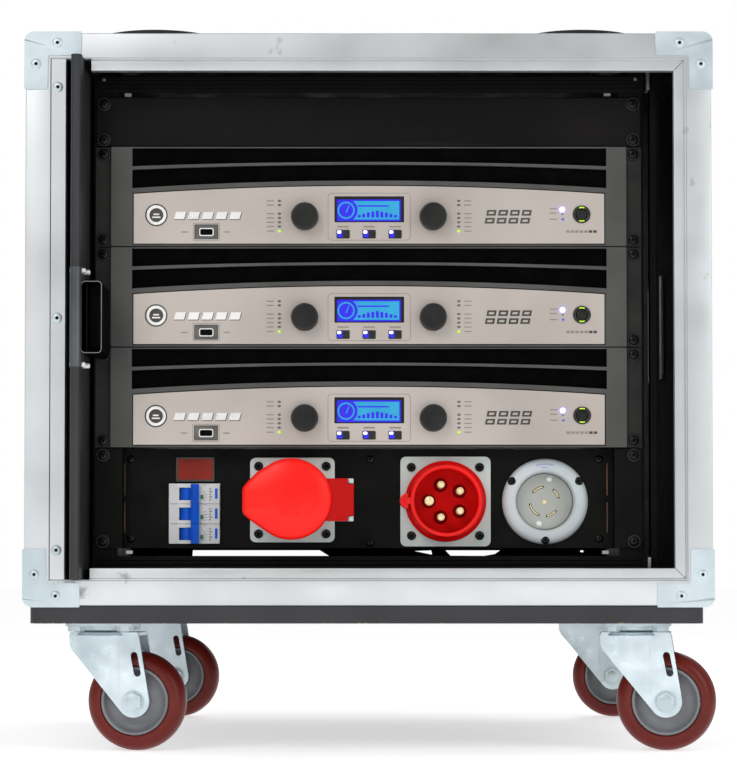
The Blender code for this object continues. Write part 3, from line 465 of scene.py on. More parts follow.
def make_studio():
    world = bpy.data.worlds.new("studio")
    world.use_nodes = True
    tree = world.node_tree
    light = give(tree, tree.nodes["Background"], Color=PURE_WHITE, Strength=0.45)
    backdrop = add(tree, "Background", Color=PURE_WHITE)
    mix = add(tree, "MixShader", Fac=add(tree, "LightPath").outputs["Is Camera Ray"])
    tree.links.new(light.outputs["Background"], mix.inputs[1])
    tree.links.new(backdrop.outputs["Background"], mix.inputs[2])
    give(tree, tree.nodes["World Output"], Surface=mix.outputs["Shader"])
    bpy.context.scene.world = world
    bpy.context.scene.view_settings.view_transform = "Standard"
    middle = (0, 0, 0.35)
    area_light("key", (-1.3, -2.7, 1.9), middle, 1.4, 1.4, 26)
    area_light("fill", (1.9, -2.2, 1.2), middle, 1.2, 1.6, 14)
    area_light("rear", (0.6, 2.6, 1.6), middle, 1.6, 1.2, 20)
    area_light("low_front", (0, -1.15, 0.04), (0, -0.3, 0.1), 1.3, 0.08, 0.55)
    bm = bmesh.new()
    box(bm, (-14, -14, -0.02), (14, 14, 0))
    paper = surface("pale_floor", "f7f7f7", "f9f9f9", 0.8, patch=2, relief=0.02, gloss=0.1)
    shader = paper.node_tree.nodes["Principled BSDF"]
    give(paper.node_tree, shader, Emission_Color=PURE_WHITE, Emission_Strength=0.55)
    shown("floor", bm, paper)


# The case


FACE_STRIP = 21.7
FACE_DEPTH = 11.7
FLANGE_DEPTH = 30
SMALL_RIVET = 3.2
LIP_EDGE = 32.5
OPENING_LEFT = -262.4
OPENING_LOW = 160.6
OPENING_HIGH = 593.3
DOOR_SLOT_RIGHT = -240.8
LIP_DEPTH = 2.4


def whole_ring(inset):
    return oblong(CASE_LOW.x + inset, CASE_HIGH.x - inset, CASE_LOW.z + inset, CASE_HIGH.z - inset)


def rounded_ring(inset):
    """The same ring with the outer corners rounded off under their brackets."""
    (left, low), _, (right, high), _ = whole_ring(inset)
    return rounded(left, right, low, high, max(8 - inset, 0.05), 4)


def open_lip(inset):
    """The lip runs along the bottom, the right and the top, and stops at the door's slot."""
    corners = whole_ring(inset)
    return [(DOOR_SLOT_RIGHT, corners[0][1]), corners[1], corners[2], (DOOR_SLOT_RIGHT, corners[3][1])]


def placed(section, end, inward):
    return [(inset, end + inward * depth) for inset, depth in section]


def outer_section():
    """The frame's outer strip, with a rounded outer edge and a flange over the panels' edges."""
    nose = [(1.3 * (1 - cos(a)), 1.3 * (1 - sin(a))) for a in (0, 0.5, 1, pi / 2)]
    flange = 2.2
    strip = [(FACE_STRIP - 0.3, 0), (FACE_STRIP, 0.3), (FACE_STRIP, FACE_DEPTH)]
    return [*nose, *strip, (flange, FACE_DEPTH), (flange, FLANGE_DEPTH), (0, FLANGE_DEPTH)]


def lip_section():
    """A narrow ridge beside the strip, a step down, and the flat lip with its rounded inner edge."""
    return [
        (FACE_STRIP + 0.2, 0.2), (FACE_STRIP + 0.5, 0), (FACE_STRIP + 1.3, 0.2),
        (FACE_STRIP + 2.2, LIP_DEPTH), (LIP_EDGE - 1, LIP_DEPTH), (LIP_EDGE - 0.3, LIP_DEPTH + 0.3),
        (LIP_EDGE, LIP_DEPTH + 1), (LIP_EDGE, FACE_DEPTH), (FACE_STRIP + 0.2, FACE_DEPTH),
    ]


def make_frames():
    for name, end, inward in (("front", FRONT, 1), ("rear", REAR, -1)):
        bm = bmesh.new()
        sweep(bm, placed(outer_section(), end, inward), rounded_ring, True)
        piece(f"{name}_frame_strip", bm, ALUMINIUM, sharp=25, replaces=[f"{name}_frame"])
    bm = bmesh.new()
    sweep(bm, placed(lip_section(), FRONT, 1), open_lip, False)
    piece("front_frame_lip", bm, ALUMINIUM, sharp=25, replaces=["front_frame"])
    bm = bmesh.new()
    sweep(bm, placed(lip_section(), REAR, -1), whole_ring, True)
    piece("rear_frame_lip", bm, ALUMINIUM, sharp=25, replaces=["rear_frame"])
    seams = bmesh.new()
    corners = zip(whole_ring(FACE_STRIP + 0.8), whole_ring(LIP_EDGE - 0.4))
    for number, (outer, inner) in enumerate(corners):
        if number in (1, 2):
            across = Vector((outer[1] - inner[1], inner[0] - outer[0])).normalized() * 0.2
            ends = Vector(outer), Vector(inner)
            shape = [end + across for end in ends] + [end - across for end in reversed(ends)]
            prism(seams, [shape], -4, -LIP_DEPTH + 0.15, facing(0, FRONT, 0))
    piece("front_frame_mitre_seams", seams, DARK_SEAM_AND_HOLE_SHADE)
    bm = bmesh.new()
    left = CASE_LOW.x + FACE_STRIP + 0.3
    low, high = OPENING_LOW - 9.1, OPENING_HIGH + 10.3
    box(bm, (left, FRONT + 0.35, low), (OPENING_LEFT, FRONT + FACE_DEPTH, high))
    piece("front_frame_door_stile", bm, ALUMINIUM, bevel=0.6, replaces=["front_frame"])
    bm = bmesh.new()
    for start, stop in ((CASE_LOW.z + FACE_STRIP, low), (high, CASE_HIGH.z - FACE_STRIP)):
        box(bm, (left, FRONT + 1.2, start), (DOOR_SLOT_RIGHT, FRONT + FACE_DEPTH, stop))
    piece("front_frame_slot_ends", bm, ALUMINIUM, bevel=0.3)


def from_corner(side, level, shape):
    """Moves points given as (across, up) from a corner of the case's face. Side and level are its signs."""
    edge_x = CASE_HIGH.x if side > 0 else CASE_LOW.x
    edge_z = CASE_HIGH.z if level > 0 else CASE_LOW.z
    return [(edge_x - side * across, edge_z - level * up) for across, up in shape]


BRACKET_OUT = 1.3
BRACKET_RADIUS = 9
BRACKET_TURN = BRACKET_RADIUS - BRACKET_OUT


def bracket_face():
    """The L-shaped plate on the face of a corner."""
    reach, drop, leg = 48, 49, 19.5
    shape = [(-BRACKET_OUT, drop), (-BRACKET_OUT, BRACKET_TURN)]
    shape += arc(BRACKET_TURN, BRACKET_TURN, BRACKET_RADIUS, 180, 270, 8)
    shape += [(BRACKET_TURN, -BRACKET_OUT), (reach, -BRACKET_OUT), (reach + 0.5, 1), (reach, leg)]
    shape += [(leg + 1.5, leg), (leg, leg + 1.5), (leg - 0.5, drop)]
    return list(dict.fromkeys(shape))


def bracket_wrap():
    """The band of the bracket that wraps round the outside of the corner."""
    reach, thick = 46, 1.1
    outer = arc(BRACKET_TURN, BRACKET_TURN, BRACKET_RADIUS, 180, 270, 8)
    inner = arc(BRACKET_TURN, BRACKET_TURN, BRACKET_RADIUS - thick, 270, 180, 8)
    ends = [(reach, -BRACKET_OUT), (reach, thick - BRACKET_OUT)]
    return [(-BRACKET_OUT, reach), *outer, *ends, *inner, (thick - BRACKET_OUT, reach)]


def rivet(bm, place, radius=4.6):
    profile = [(0, 0.3), (1.5, 0.3), (1.5, 1.1), (1.9, 1.35)]
    profile += [(radius * 0.6, 1.25), (radius * 0.9, 0.7), (radius, 0), (0, -0.2)]
    spin(bm, profile, 28, place)


def make_corners():
    """Zinc brackets, two rivets each, at the eight corners, and the rivets of the door's stile."""
    for name, end, out in (("front", FRONT, 1), ("rear", REAR, -1)):
        plates, heads, pins = meshes(3)
        spots = []
        for side, level in CORNERS:
            face, wrap = [from_corner(side, level, shape) for shape in (bracket_face(), bracket_wrap())]
            prism(plates, [face], -0.1 * out, 1.2 * out, facing(0, end, 0))
            prism(plates, [wrap], -30 * out, 0.6 * out, facing(0, end, 0))
            for x, z in from_corner(side, level, [(27.5, 8.5), (9, 27)]):
                outward = rotate(0 if out > 0 else pi, "Z") @ UPRIGHT
                spots.append(shift(x, end, z) @ outward @ shift(0, 0, 1.1))
        if out > 0:
            spots += [facing(-269.6, FRONT + 0.3, z) for z in (579, 378, 177)]
        for spot in spots:
            rivet(heads, spot)
            # painted shade: a dark dome in the middle of each rivet stands in for the shade in its hollow
            spin(pins, [(0, 0.75), (1.1, 0.7), (1.35, 0.4), (0, 0.2)], 16, spot)
        piece(f"{name}_corner_brackets", plates, ZINC, bevel=0.35, sharp=30)
        piece(f"{name}_rivets", heads, ZINC)
        piece(f"{name}_rivet_hole_shade", pins, DARK_SEAM_AND_HOLE_SHADE)


def make_edge_angles():
    """Aluminium angles with rivets along the four long edges of the case, between the end frames."""
    start, stop = FRONT + FLANGE_DEPTH + 0.3, REAR - FLANGE_DEPTH - 0.3
    reach, thick, gap = 28, 1.5, 0.2
    middle = reach * 0.55
    angles, heads = meshes(2)
    for side, level in CORNERS:
        out_x = side * (SHELL_HIGH.x + gap + thick)
        out_z = (SHELL_HIGH.z if level > 0 else SHELL_LOW.z) + level * (gap + thick)
        outline = [(0, 0), (reach, 0), (reach, thick), (thick, thick), (thick, reach), (0, reach)]
        shape = [(out_x - side * across, out_z - level * up) for across, up in outline]
        prism(angles, [shape], -stop, -start, UPRIGHT)
        for i in range(6):
            y = start + (stop - start) * (i + 0.5) / 6
            spot = shift(out_x, y, out_z - level * middle) @ rotate(side * pi / 2, "Y")
            rivet(heads, spot, SMALL_RIVET)
            if level > 0:
                rivet(heads, shift(out_x - side * middle, y, out_z), SMALL_RIVET)
    piece("long_edge_angles", angles, ALUMINIUM, bevel=0.4)
    piece("long_edge_rivets", heads, ZINC)


def make_board():
    low, high = span("base_board")
    bm = bmesh.new()
    prism(bm, [rounded(low.x, high.x, low.y, high.y, 12, 8)], low.z, high.z)
    piece("worn_base_board", bm, BOARD, bevel=1.6, segments=3, replaces=["base_board"])


def make_cups():
    for quarter in QUARTERS:
        node = f"stacking_cup_{quarter}"
        low, high = span(node)
        height = high.z - low.z
        wide = (high.x - low.x) / 2
        rim = 51.5
        profile = [(0, 2.2), (43, 2.2), (45.5, 2.8), (rim - 2.4, height - 1.2), (rim - 1.2, height - 0.2)]
        profile += [(rim, height), (rim + 1.2, height - 0.2), (rim + 2.2, height - 1.4), (wide - 2.2, 3.4)]
        profile += [(wide - 0.6, 2.2), (wide, 1), (wide, 0), (0, 0)]
        bm = bmesh.new()
        place = shift((low.x + high.x) / 2, (low.y + high.y) / 2, low.z)
        spin(bm, profile, 72, place)
        for x, y in circle(0, 0, 38, 6, radians(30)):
            spin(bm, [(0, 0.9), (2.2, 0.8), (3.6, 0), (0, -0.4)], 16, place @ shift(x, y, 2.1))
        piece(f"moulded_{node}", bm, CUP, replaces=[node])


# Casters


def make_top_plate(name, at, top):
    """A pressed plate with four slots and bolts, a raceway under it, and the kingpin's nut."""
    half_x, half_y = 30.5, 47.5
    place = Matrix.Translation(at)
    holes = [(21.5 * side, 37.5 * level) for side, level in CORNERS]
    slots = [rounded(x - 4.2, x + 4.2, y - 6, y + 6, 4.1, 4) for x, y in holes]
    plate = bmesh.new()
    outline = rounded(-half_x, half_x, -half_y, half_y, 6, 5)
    prism(plate, [outline, *slots], top - 2.5, top, place)
    crown_top = 105.8
    race = [(0, top - 2.4), (28.5, top - 2.4), (28.5, top - 3.6), (26.8, top - 4.2)]
    race += [(26.8, crown_top + 1.2), (25, crown_top), (0, crown_top)]
    spin(plate, race, 56, place)
    pin = [(0, 106), (5.8, 106), (5.8, 101), (0, 101)]
    spin(plate, pin, 24, place)
    piece(f"top_plate_{name}", plate, ZINC, bevel=0.4, replaces=[f"caster_plate_{name}"])
    bolts = bmesh.new()
    for x, y in holes:
        spot = place @ shift(x, y, 0)
        prism(bolts, [circle(0, 0, 7.4, 6)], top - 7.4, top - 3.2, spot)
        prism(bolts, [circle(0, 0, 8.2, 24)], top - 3.2, top - 2.5, spot)
    nut_top = 100.9
    prism(bolts, [circle(0, 0, 9.2, 6, 0.3)], nut_top - 3.4, nut_top, place)
    piece(f"plate_bolts_{name}", bolts, ZINC, bevel=0.4)


def make_fork(name, at, axle):
    """A pressed yoke: a dished crown, two tapering legs with slots, and the axle bolt with its nut."""
    place = Matrix.Translation(at) @ rotate(YAW, "Z")
    crown_top, crown_low = 105.4, 101.6
    trail, axle_z = axle
    inner, outer = 17.3, 20.2
    yoke = bmesh.new()
    dish = [(6.6, crown_low), (6.6, crown_top), (24, crown_top), (27.5, crown_top - 0.7)]
    dish += [(28.8, crown_top - 2.4), (28.8, crown_low)]
    spin(yoke, dish, 56, place, closed=True)
    bridge = rounded(-26, 34.5, -outer + 0.4, outer - 0.4, 3)
    prism(yoke, [bridge, list(reversed(circle(0, 0, 6.6, 24)))], crown_low + 0.2, crown_top - 0.6, place)
    top = crown_top - 0.5
    leg = [(-26.5, top), (-27.5, top - 2.5), (-27.2, 93), (-25.6, 89.5)]
    leg += arc(trail, axle_z, 14.2, 216, 368, 20)
    leg += [(35.2, 99), (34.2, top - 1), (33, top)]
    slot = arc(trail + 0.6, 84.5, 3.1, 10, 190, 10) + arc(trail + 3.6, 69, 3.1, 190, 370, 10)
    for side in (-1, 1):
        ends = sorted((-side * inner, -side * outer))
        prism(yoke, [leg, list(reversed(slot))], *ends, place @ UPRIGHT)
        crease = [(15.5, 97), (16.7, 97), (17.4, 52), (16.4, 52)]
        ridge = sorted((-side * outer, -side * (outer + 0.35)))
        prism(yoke, [crease], *ridge, place @ UPRIGHT)
    body = f"caster_{name}"
    piece(f"fork_{name}", yoke, FORK_ZINC, body, bevel=0.6, replaces=[f"caster_fork_{name}"])
    bolt = bmesh.new()
    spot = place @ shift(trail, 0, axle_z) @ UPRIGHT
    prism(bolt, [circle(0, 0, 4.9, 24)], -outer - 3, outer + 3, spot)
    for side in (-1, 1):
        washer = sorted((side * outer, side * (outer + 0.9)))
        prism(bolt, [circle(0, 0, 9.8, 32)], *washer, spot)
        head = sorted((side * (outer + 0.9), side * (outer + 5)))
        prism(bolt, [circle(0, 0, 8.6, 6, radians(30))], *head, spot)
    cap = [(0, outer + 5.7), (4.6, outer + 5.5), (6.6, outer + 4.9), (0, outer + 4)]
    spin(bolt, cap, 32, spot)
    piece(f"axle_bolt_{name}", bolt, ZINC, body, bevel=0.5)


def make_wheel(name, at, axle):
    """A grey hub with a dished web and a bearing, and the crowned tread bonded to its rim."""
    trail, axle_z = axle
    place = Matrix.Translation(at) @ rotate(YAW, "Z")
    spot = place @ shift(trail, 0, axle_z) @ UPRIGHT
    half = 15.5
    face = [
        (5.4, half), (8.6, half), (9.2, half - 0.6), (13, half - 0.8), (13.8, half - 2),
        (14.6, half - 5.6), (17, half - 7), (21, half - 7.2), (25, half - 6), (26.8, half - 3.6),
        (27.4, half - 1.2), (28, half - 0.7), (29.6, half - 0.7), (30.2, half - 1.6),
    ]
    back = [(radius, -height) for radius, height in reversed(face)]
    hub = bmesh.new()
    spin(hub, [*face, *back], 96, spot, closed=True)
    body = f"wheel_{name}"
    piece(f"hub_{name}", hub, HUB, body, replaces=[f"caster_wheel_{name}"])
    side = [
        (30.3, half - 2.2), (31.2, half - 1), (33, half - 0.6), (37.5, half - 1.8), (40.6, half - 4.2),
        (42.7, half - 7.6), (43.7, half - 11.2),
    ]
    tread = bmesh.new()
    far = [(radius, -height) for radius, height in reversed(side)]
    spin(tread, [*side, (44, 0), *far], 112, spot, closed=True)
    piece(f"tread_{name}", tread, TYRE, body, replaces=[f"caster_wheel_{name}"])


def make_casters():
    for name in QUARTERS:
        plate_low, plate_high = span(f"caster_plate_{name}")
        at = (plate_low + plate_high) / 2
        at.z = 0
        low, high = span(f"caster_wheel_{name}")
        centre = (low + high) / 2
        axle = (centre - at).xy.length, centre.z
        make_top_plate(name, at, plate_high.z)
        make_fork(name, at, axle)
        make_wheel(name, at, axle)


# The amplifiers: places across are from the case's middle, heights from each one's bottom edge


def arch(left, right, end_height, middle_height, steps=40):
    points = []
    for i in range(steps + 1):
        drop = (middle_height - end_height) * (2 * i / steps - 1) ** 2
        points.append((left + (right - left) * i / steps, middle_height - drop))
    return points


def band(left, right, low_ends, low_middle, high_ends, high_middle):
    """A strip between two shallow arches."""
    lower = arch(left, right, low_ends, low_middle)
    return [*lower, *reversed(arch(left, right, high_ends, high_middle))]


FASCIA_LEFT = -207.4
FASCIA_RIGHT = 208.2
SLOT_LEFT = -208.9
SLOT_RIGHT = 210.3
KNOB_X = (-56.2, 57)
MENU_X = (-22.4, 0.6, 23.5)
LED_HEIGHTS = (40.5, 36.8, 29.1, 25.3, 21.5, 17.7)


def fascia_outline(grow=0):
    top = arch(FASCIA_LEFT - grow, FASCIA_RIGHT + grow, 46.7 + grow, 53.8 + grow)
    return [(FASCIA_LEFT - grow, 2.7 - grow), (FASCIA_RIGHT + grow, 2.7 - grow), *reversed(top)]


def make_bezel(amp, place):
    """The grey casting round the fascia, with two arched air slots over it."""
    outline = rounded(-227.4, 227.8, 0.5, 88.4, 0.8, 2)
    lower_slot = band(SLOT_LEFT, SLOT_RIGHT, 51.8, 58.6, 68.3, 72.8)
    upper_slot = band(SLOT_LEFT, SLOT_RIGHT, 71.3, 75.1, 87.3, 87.5)
    window = fascia_outline(0.9)
    bm = bmesh.new()
    prism(bm, [outline, window, lower_slot, upper_slot], 0.2, 4, place)
    piece(f"{amp}_bezel", bm, BEZEL, bevel=0.5, sharp=30)


def make_fascia(amp, place, lift):
    z = [7.5, 14.5]
    holes = [rounded(x - 5.8, x + 5.8, z[0] - 0.3, z[1] + 0.3, 0.8, 3) for x in MENU_X]
    holes.append(rounded(-30.1, 31.5, 21.5, 44.6, 0.6, 3))
    holes.append(rounded(-153.8, -132.6, 6.5, 19.7, 0.6, 3))
    holes.append(circle(188.3, 28.5, 7.2, 40))
    holes += [circle(x, 25.9, 4, 24) for x in KNOB_X]
    bm = bmesh.new()
    prism(bm, [fascia_outline(), *holes], 0.3, lift, place)
    node = f"{amp}_fascia"
    piece(f"{node}_casting", bm, FASCIA, bevel=0.7, segments=3, replaces=[node], sharp=30)


def make_marks(amp, place, lift):
    """Plain shapes where the real unit has lettering: a badge, a name bar, model bars and small labels,
    with a painted shadow under each name bar.
    """
    badge, name_bar, dark, faint, line = meshes(5)
    spot = place @ shift(-187.4, 27.9, lift)
    spin(badge, [(6.2, 0), (6.2, 0.5), (6.6, 0.8), (8.3, 0.8), (8.7, 0.5), (8.7, 0)], 56, spot, closed=True)
    box(badge, (-3.6, -2.6, 0), (3.6, -1.3, 0.45), spot)
    box(badge, (-2.6, 0, 0), (2.6, 1.3, 0.45), spot)
    spin(dark, [(8.8, 0), (8.8, 0.45), (9.9, 0.3), (9.9, 0)], 56, spot, closed=True)
    spin(dark, [(0, 0.25), (6.1, 0.25), (6.1, 0), (0, 0)], 40, spot)
    left, lean, wide, pitch = -172, 1.8, 9.2, 12.2
    for i in range(5):
        start = left + pitch * i
        foot, head = 24.2, 30.8
        outer = [(start, foot), (start + wide, foot), (start + wide + lean, head), (start + lean, head)]
        prism(name_bar, [outer], lift, lift + 0.6, place)
        # painted shadow: a dark copy of each bar, offset down and to the right, on the fascia under it
        prism(dark, [[(x + 0.5, y - 0.6) for x, y in outer]], lift, lift + 0.2, place)
    for row, (foot, head) in enumerate(((27.4, 32.4), (20.4, 25.4))):
        for i in range(4):
            start = 104 + 10.4 * i - 1.4 * row
            outer = [(start, foot), (start + 8.2, foot), (start + 9.2, head), (start + 1, head)]
            inner = [(start + 1.9, foot + 1.5), (start + 6.5, foot + 1.5)]
            inner += [(start + 7.2, head - 1.5), (start + 2.6, head - 1.5)]
            prism(dark, [outer, inner], lift, lift + 0.15, place)
    for x_led, out in ((-78.7, -1), (79.7, 1)):
        for height in (*LED_HEIGHTS, 13.7):
            middle = x_led + out * 8
            box(faint, (middle - 3.2, height - 0.5, lift), (middle + 3.2, height + 0.5, lift + 0.1), place)
    for x in MENU_X:
        box(faint, (x - 5, 16.9, lift), (x + 5, 18.3, lift + 0.1), place)
    for i in range(7):
        start = 174.5 + 4 * i
        box(faint if i < 5 else dark, (start, 12.2, lift), (start + 3.1, 14.4, lift + 0.12), place)
    for height in (33.5, 29.6, 24.2):
        box(faint, (160, height - 0.5, lift), (166.5, height + 0.5, lift + 0.1), place)
    for x in (-162.5, -125):
        box(faint, (x - 3, 12.4, lift), (x + 3, 13.4, lift + 0.1), place)
    group = rounded(-35.9, 37.1, 5.4, 47.5, 3.5, 8)
    inner = rounded(-35.5, 36.7, 5.8, 47.1, 3.1, 8)
    prism(line, [group, inner], lift, lift + 0.15, place)
    port = rounded(-155, -131.4, 5.3, 20.9, 1, 3)
    port_inner = rounded(-154.6, -131.8, 5.7, 20.5, 0.8, 3)
    prism(line, [port, port_inner], lift, lift + 0.15, place)
    piece(f"{amp}_badge", badge, SILVER)
    piece(f"{amp}_name_bars", name_bar, SILVER, bevel=0.2)
    piece(f"{amp}_dark_print_and_painted_shadows", dark, MARK)
    piece(f"{amp}_small_labels", faint, FAINT)
    piece(f"{amp}_engraved_lines", line, LINE)


def make_display(amp, place, lift):
    """A black window with a lit screen: a round gauge at the left and level bars at the right."""
    frame_bm, blue, cyan, ink = meshes(4)
    hole = rounded(-30, 31.4, 21.6, 44.5, 0.5, 3)
    window = rounded(-27.9, 28.6, 22.6, 41.9, 0.4, 3)
    prism(frame_bm, [hole, window], lift - 3.4, lift - 0.5, place)
    prism(blue, [rounded(-28.4, 29.1, 22.1, 42.4, 0.4, 3)], lift - 3.4, lift - 2.2, place)
    low, high = lift - 2.2, lift - 2
    field = [(-13.5, 24.2), (27.2, 24.2), (27.2, 40.6), (-13.5, 40.6)]
    field += arc(-19.8, 32.4, 10.2, 52, -52, 16)
    prism(cyan, [field], low, high, place)
    ring = circle(-19.8, 32.4, 7.6, 40)
    prism(cyan, [ring, circle(-19.8, 32.4, 6.3, 40)], low, high, place)
    needle = [(-20.3, 30.4), (-19.3, 30.4), (-16.8, 36.6), (-17.4, 36.9)]
    prism(cyan, [needle], low, high, place)
    for i in range(9):
        left = -9.5 + 4 * i
        tall = (2.4, 3.4, 4.6, 5.4, 6, 5.2, 4.4, 3.2, 2.2)[i]
        box(ink, (left, 26, high), (left + 2.6, 26 + tall, high + 0.1), place)
    box(ink, (-9.5, 35.6, high), (18, 36.9, high + 0.1), place)
    piece(f"{amp}_display_frame", frame_bm, GLASS, bevel=0.25)
    piece(f"{amp}_display_light", blue, LCD_BLUE)
    piece(f"{amp}_display_field", cyan, LCD_CYAN)
    piece(f"{amp}_display_bars", ink, LCD_BLUE)


def make_lamps(amp, place, lift):
    off, green, blue = meshes(3)

    def lamp(bm, x, height, radius, proud, squash=0.65):
        spot = place @ shift(x, height, lift) @ Matrix.Diagonal((1, squash, 1, 1))
        dome = [(0, proud), (radius * 0.6, proud * 0.85), (radius, proud * 0.3), (radius, -0.3), (0, -0.3)]
        spin(bm, dome, 20, spot)

    for x in (-78.7, 79.7):
        for height in LED_HEIGHTS:
            lamp(off, x, height, 1.6, 0.4)
        lamp(green, x, 13.7, 1.5, 0.6, 0.8)
    lamp(blue, 171.2, 32.8, 2.3, 1.5, 1)
    lamp(off, 171.4, 28.8, 1.1, 0.4)
    piece(f"{amp}_unlit_lamps", off, LED_OFF)
    piece(f"{amp}_green_lamps", green, LED_GREEN)
    piece(f"{amp}_blue_lamp", blue, LED_BLUE)
    small = bmesh.new()
    lamp(small, 171.7, 24.1, 1.2, 0.5)
    piece(f"{amp}_small_lamp", small, LCD_BLUE)


def make_knobs(amp, place, lift):
    for side, x in zip(("left", "right"), KNOB_X):
        node = f"{amp}_knob_{side}"
        spot = place @ shift(x, 25.9, lift)
        bm = bmesh.new()
        profile = [
            (0, 14.1), (10.4, 14.1), (11.3, 13.8), (11.8, 12.9), (12, 11.6), (12, 1.2), (11.6, 0.4),
            (0, 0.4),
        ]
        spin(bm, profile, 72, spot)
        piece(f"{node}_cap", bm, BLACK, node, replaces=[node])
        disc = bmesh.new()
        spin(disc, [(0, 14.25), (10.3, 14.25), (10.5, 14), (0, 14)], 72, spot)
        piece(f"{node}_disc", disc, KNOB, node)


def make_buttons(amp, place, lift):
    for side, x in zip(("left", "middle", "right"), MENU_X):
        node = f"{amp}_menu_button_{side}"
        bm = bmesh.new()
        prism(bm, [rounded(x - 5.4, x + 5.4, 7.6, 14.4, 0.9, 4)], lift - 2.4, lift + 1.1, place)
        for i in range(4):
            left = x + (0.2 + 1.15 * i)
            box(bm, (left, 8.6, lift + 1), (left + 0.5, 13.4, lift + 1.35), place)
        piece(f"{node}_cap", bm, BLACK, node, bevel=0.25, replaces=[node])
        lamp = bmesh.new()
        prism(lamp, [rounded(x - 5, x - 1.8, 11.6, 13.9, 0.9, 5)], lift + 1, lift + 1.45, place)
        piece(f"{node}_lamp", lamp, LED_WHITE, node)
        # painted light: a blue glowing patch over the cap's left half stands in for the lamp's light
        # spreading across the cap
        glow = bmesh.new()
        prism(glow, [rounded(x - 5.2, x - 0.6, 8, 14, 0.8, 4)], lift + 1, lift + 1.2, place)
        piece(f"{node}_painted_led_glow", glow, LCD_BLUE, node)
    node = f"{amp}_power_button"
    spot = place @ shift(188.3, 28.5, lift)
    ring, lit, cap = meshes(3)
    profile = [(5.2, -3), (5.2, 0.9), (5.9, 1.5), (6.9, 1.7), (7.6, 1.2), (7.9, 0), (7.1, 0), (7.1, -3)]
    spin(ring, profile, 56, spot, closed=True)
    for start in (68, 248):
        prism(lit, [arc_band(6.6, 5.5, start, start + 44, 8)], 0.9, 1.75, spot)
    spin(cap, [(0, 1.7), (2.9, 1.6), (3.3, 1), (4.4, 0.8), (4.85, 0.3), (4.85, -2.4), (0, -2.4)], 48, spot)
    piece(f"{node}_collar", ring, BLACK)
    piece(f"{node}_lit_arcs", lit, LED_GREEN)
    piece(f"{node}_cap", cap, KNOB, node, replaces=[node])


def make_port(amp, place, lift):
    plate, shell, dark = meshes(3)
    mouth = rounded(-149.6, -136.8, 9.4, 16.6, 1.8, 5)
    prism(plate, [rounded(-153.6, -132.8, 6.7, 19.5, 0.4, 3)], lift - 3.6, lift - 1.8, place)
    inner = rounded(-148.7, -137.7, 10.3, 15.7, 1.2, 5)
    prism(shell, [mouth, inner], lift - 1.8, lift - 0.4, place)
    # painted shade: the port's inside is drawn near-black
    prism(dark, [inner], lift - 1.8, lift - 1.5, place)
    box(dark, (-146.5, 12.4, lift - 1.6), (-139.9, 14.4, lift - 0.6), place)
    piece(f"{amp}_port_plate", plate, PORT, bevel=0.2)
    piece(f"{amp}_port_shell", shell, SILVER, bevel=0.2)
    piece(f"{amp}_port_inside_shade", dark, DARK_SEAM_AND_HOLE_SHADE)


def make_amp_rear(amp, bottom):
    """The back: a fan grille, mains inlet, speaker outputs and round signal sockets."""
    back = span(f"{amp}_chassis")[1].y
    place = shift(0, back, bottom) @ rotate(pi, "Z") @ UPRIGHT
    plate, black, metal = meshes(3)
    prism(plate, [rounded(-219, 219, 1.6, 87.4, 1, 3), circle(0, 44, 33, 48)], 0.2, 1.4, place)
    for radius in (6, 13, 20, 27, 34):
        profile = [(radius - 0.8, 1.4), (radius - 0.8, 2.8), (radius + 0.8, 2.8), (radius + 0.8, 1.4)]
        spin(metal, profile, 48, place @ shift(0, 44, 0), closed=True)
    for angle in (45, 135):
        turn = place @ shift(0, 44, 0) @ rotate(radians(angle), "Z")
        box(metal, (-35, -1, 1.2), (35, 1, 2), turn)
    for x, z in ((-70, 60), (-70, 28), (-102, 60), (-102, 28)):
        spot = place @ shift(x, z, 1.4)
        prism(black, [rounded(-13, 13, -13, 13, 3), circle(0, 0, 9.5, 32)], 0, 2.4, spot)
        spin(black, [(0, 0.6), (9.4, 0.6), (9.4, 0), (0, 0)], 32, spot)
        spin(metal, [(0, 1.6), (3.4, 1.6), (3.4, 0.5), (0, 0.5)], 24, spot)
    for x in (72, 104):
        for z in (60, 28):
            spot = place @ shift(x, z, 1.4)
            prism(black, [rounded(-12.5, 12.5, -14.5, 14.5, 2), circle(0, 0, 11, 32)], 0, 2, spot)
            spin(black, [(7.5, 0.1), (7.5, 2.6), (9, 2.6), (9, 0.1)], 32, spot, closed=True)
    inlet = place @ shift(170, 40, 1.4)
    prism(black, [rounded(-22, 22, -16, 16, 3), rounded(-14, 14, -9, 9, 2)], 0, 5, inlet)
    for x in (-7, 0, 7):
        box(metal, (x - 1, -3, 0.2), (x + 1, 3, 4), inlet)
    for i in range(10):
        left = -205 + 8 * i
        prism(black, [rounded(left, left + 4, 14, 74, 1.9, 4)], 1.3, 1.6, place)
    piece(f"{amp}_rear_plate", plate, EAR, bevel=0.3)
    piece(f"{amp}_rear_sockets", black, BLACK, bevel=0.3)
    piece(f"{amp}_rear_metal", metal, STEEL, bevel=0.2)


AMP_DETAILS = [make_fascia, make_marks, make_display, make_lamps, make_knobs, make_buttons, make_port]


def make_amplifiers():
    for amp, bottom in AMPS.items():
        place = facing(0, RACK_FACE, bottom)
        lift = RACK_FACE - FASCIA_FACE
        dress(f"{amp}_chassis", EAR)
        make_bezel(amp, place)
        for make in AMP_DETAILS:
            make(amp, place, lift)
        make_amp_rear(amp, bottom)
        # painted shade: a thin near-black sheet behind the bezel's air slots stands in for the shade inside
        # them
        vents = bmesh.new()
        box(vents, (SLOT_LEFT, 50, 0.05), (SLOT_RIGHT, 88, 0.15), place)
        piece(f"{amp}_painted_vent_shade", vents, SHADE_BLACK)


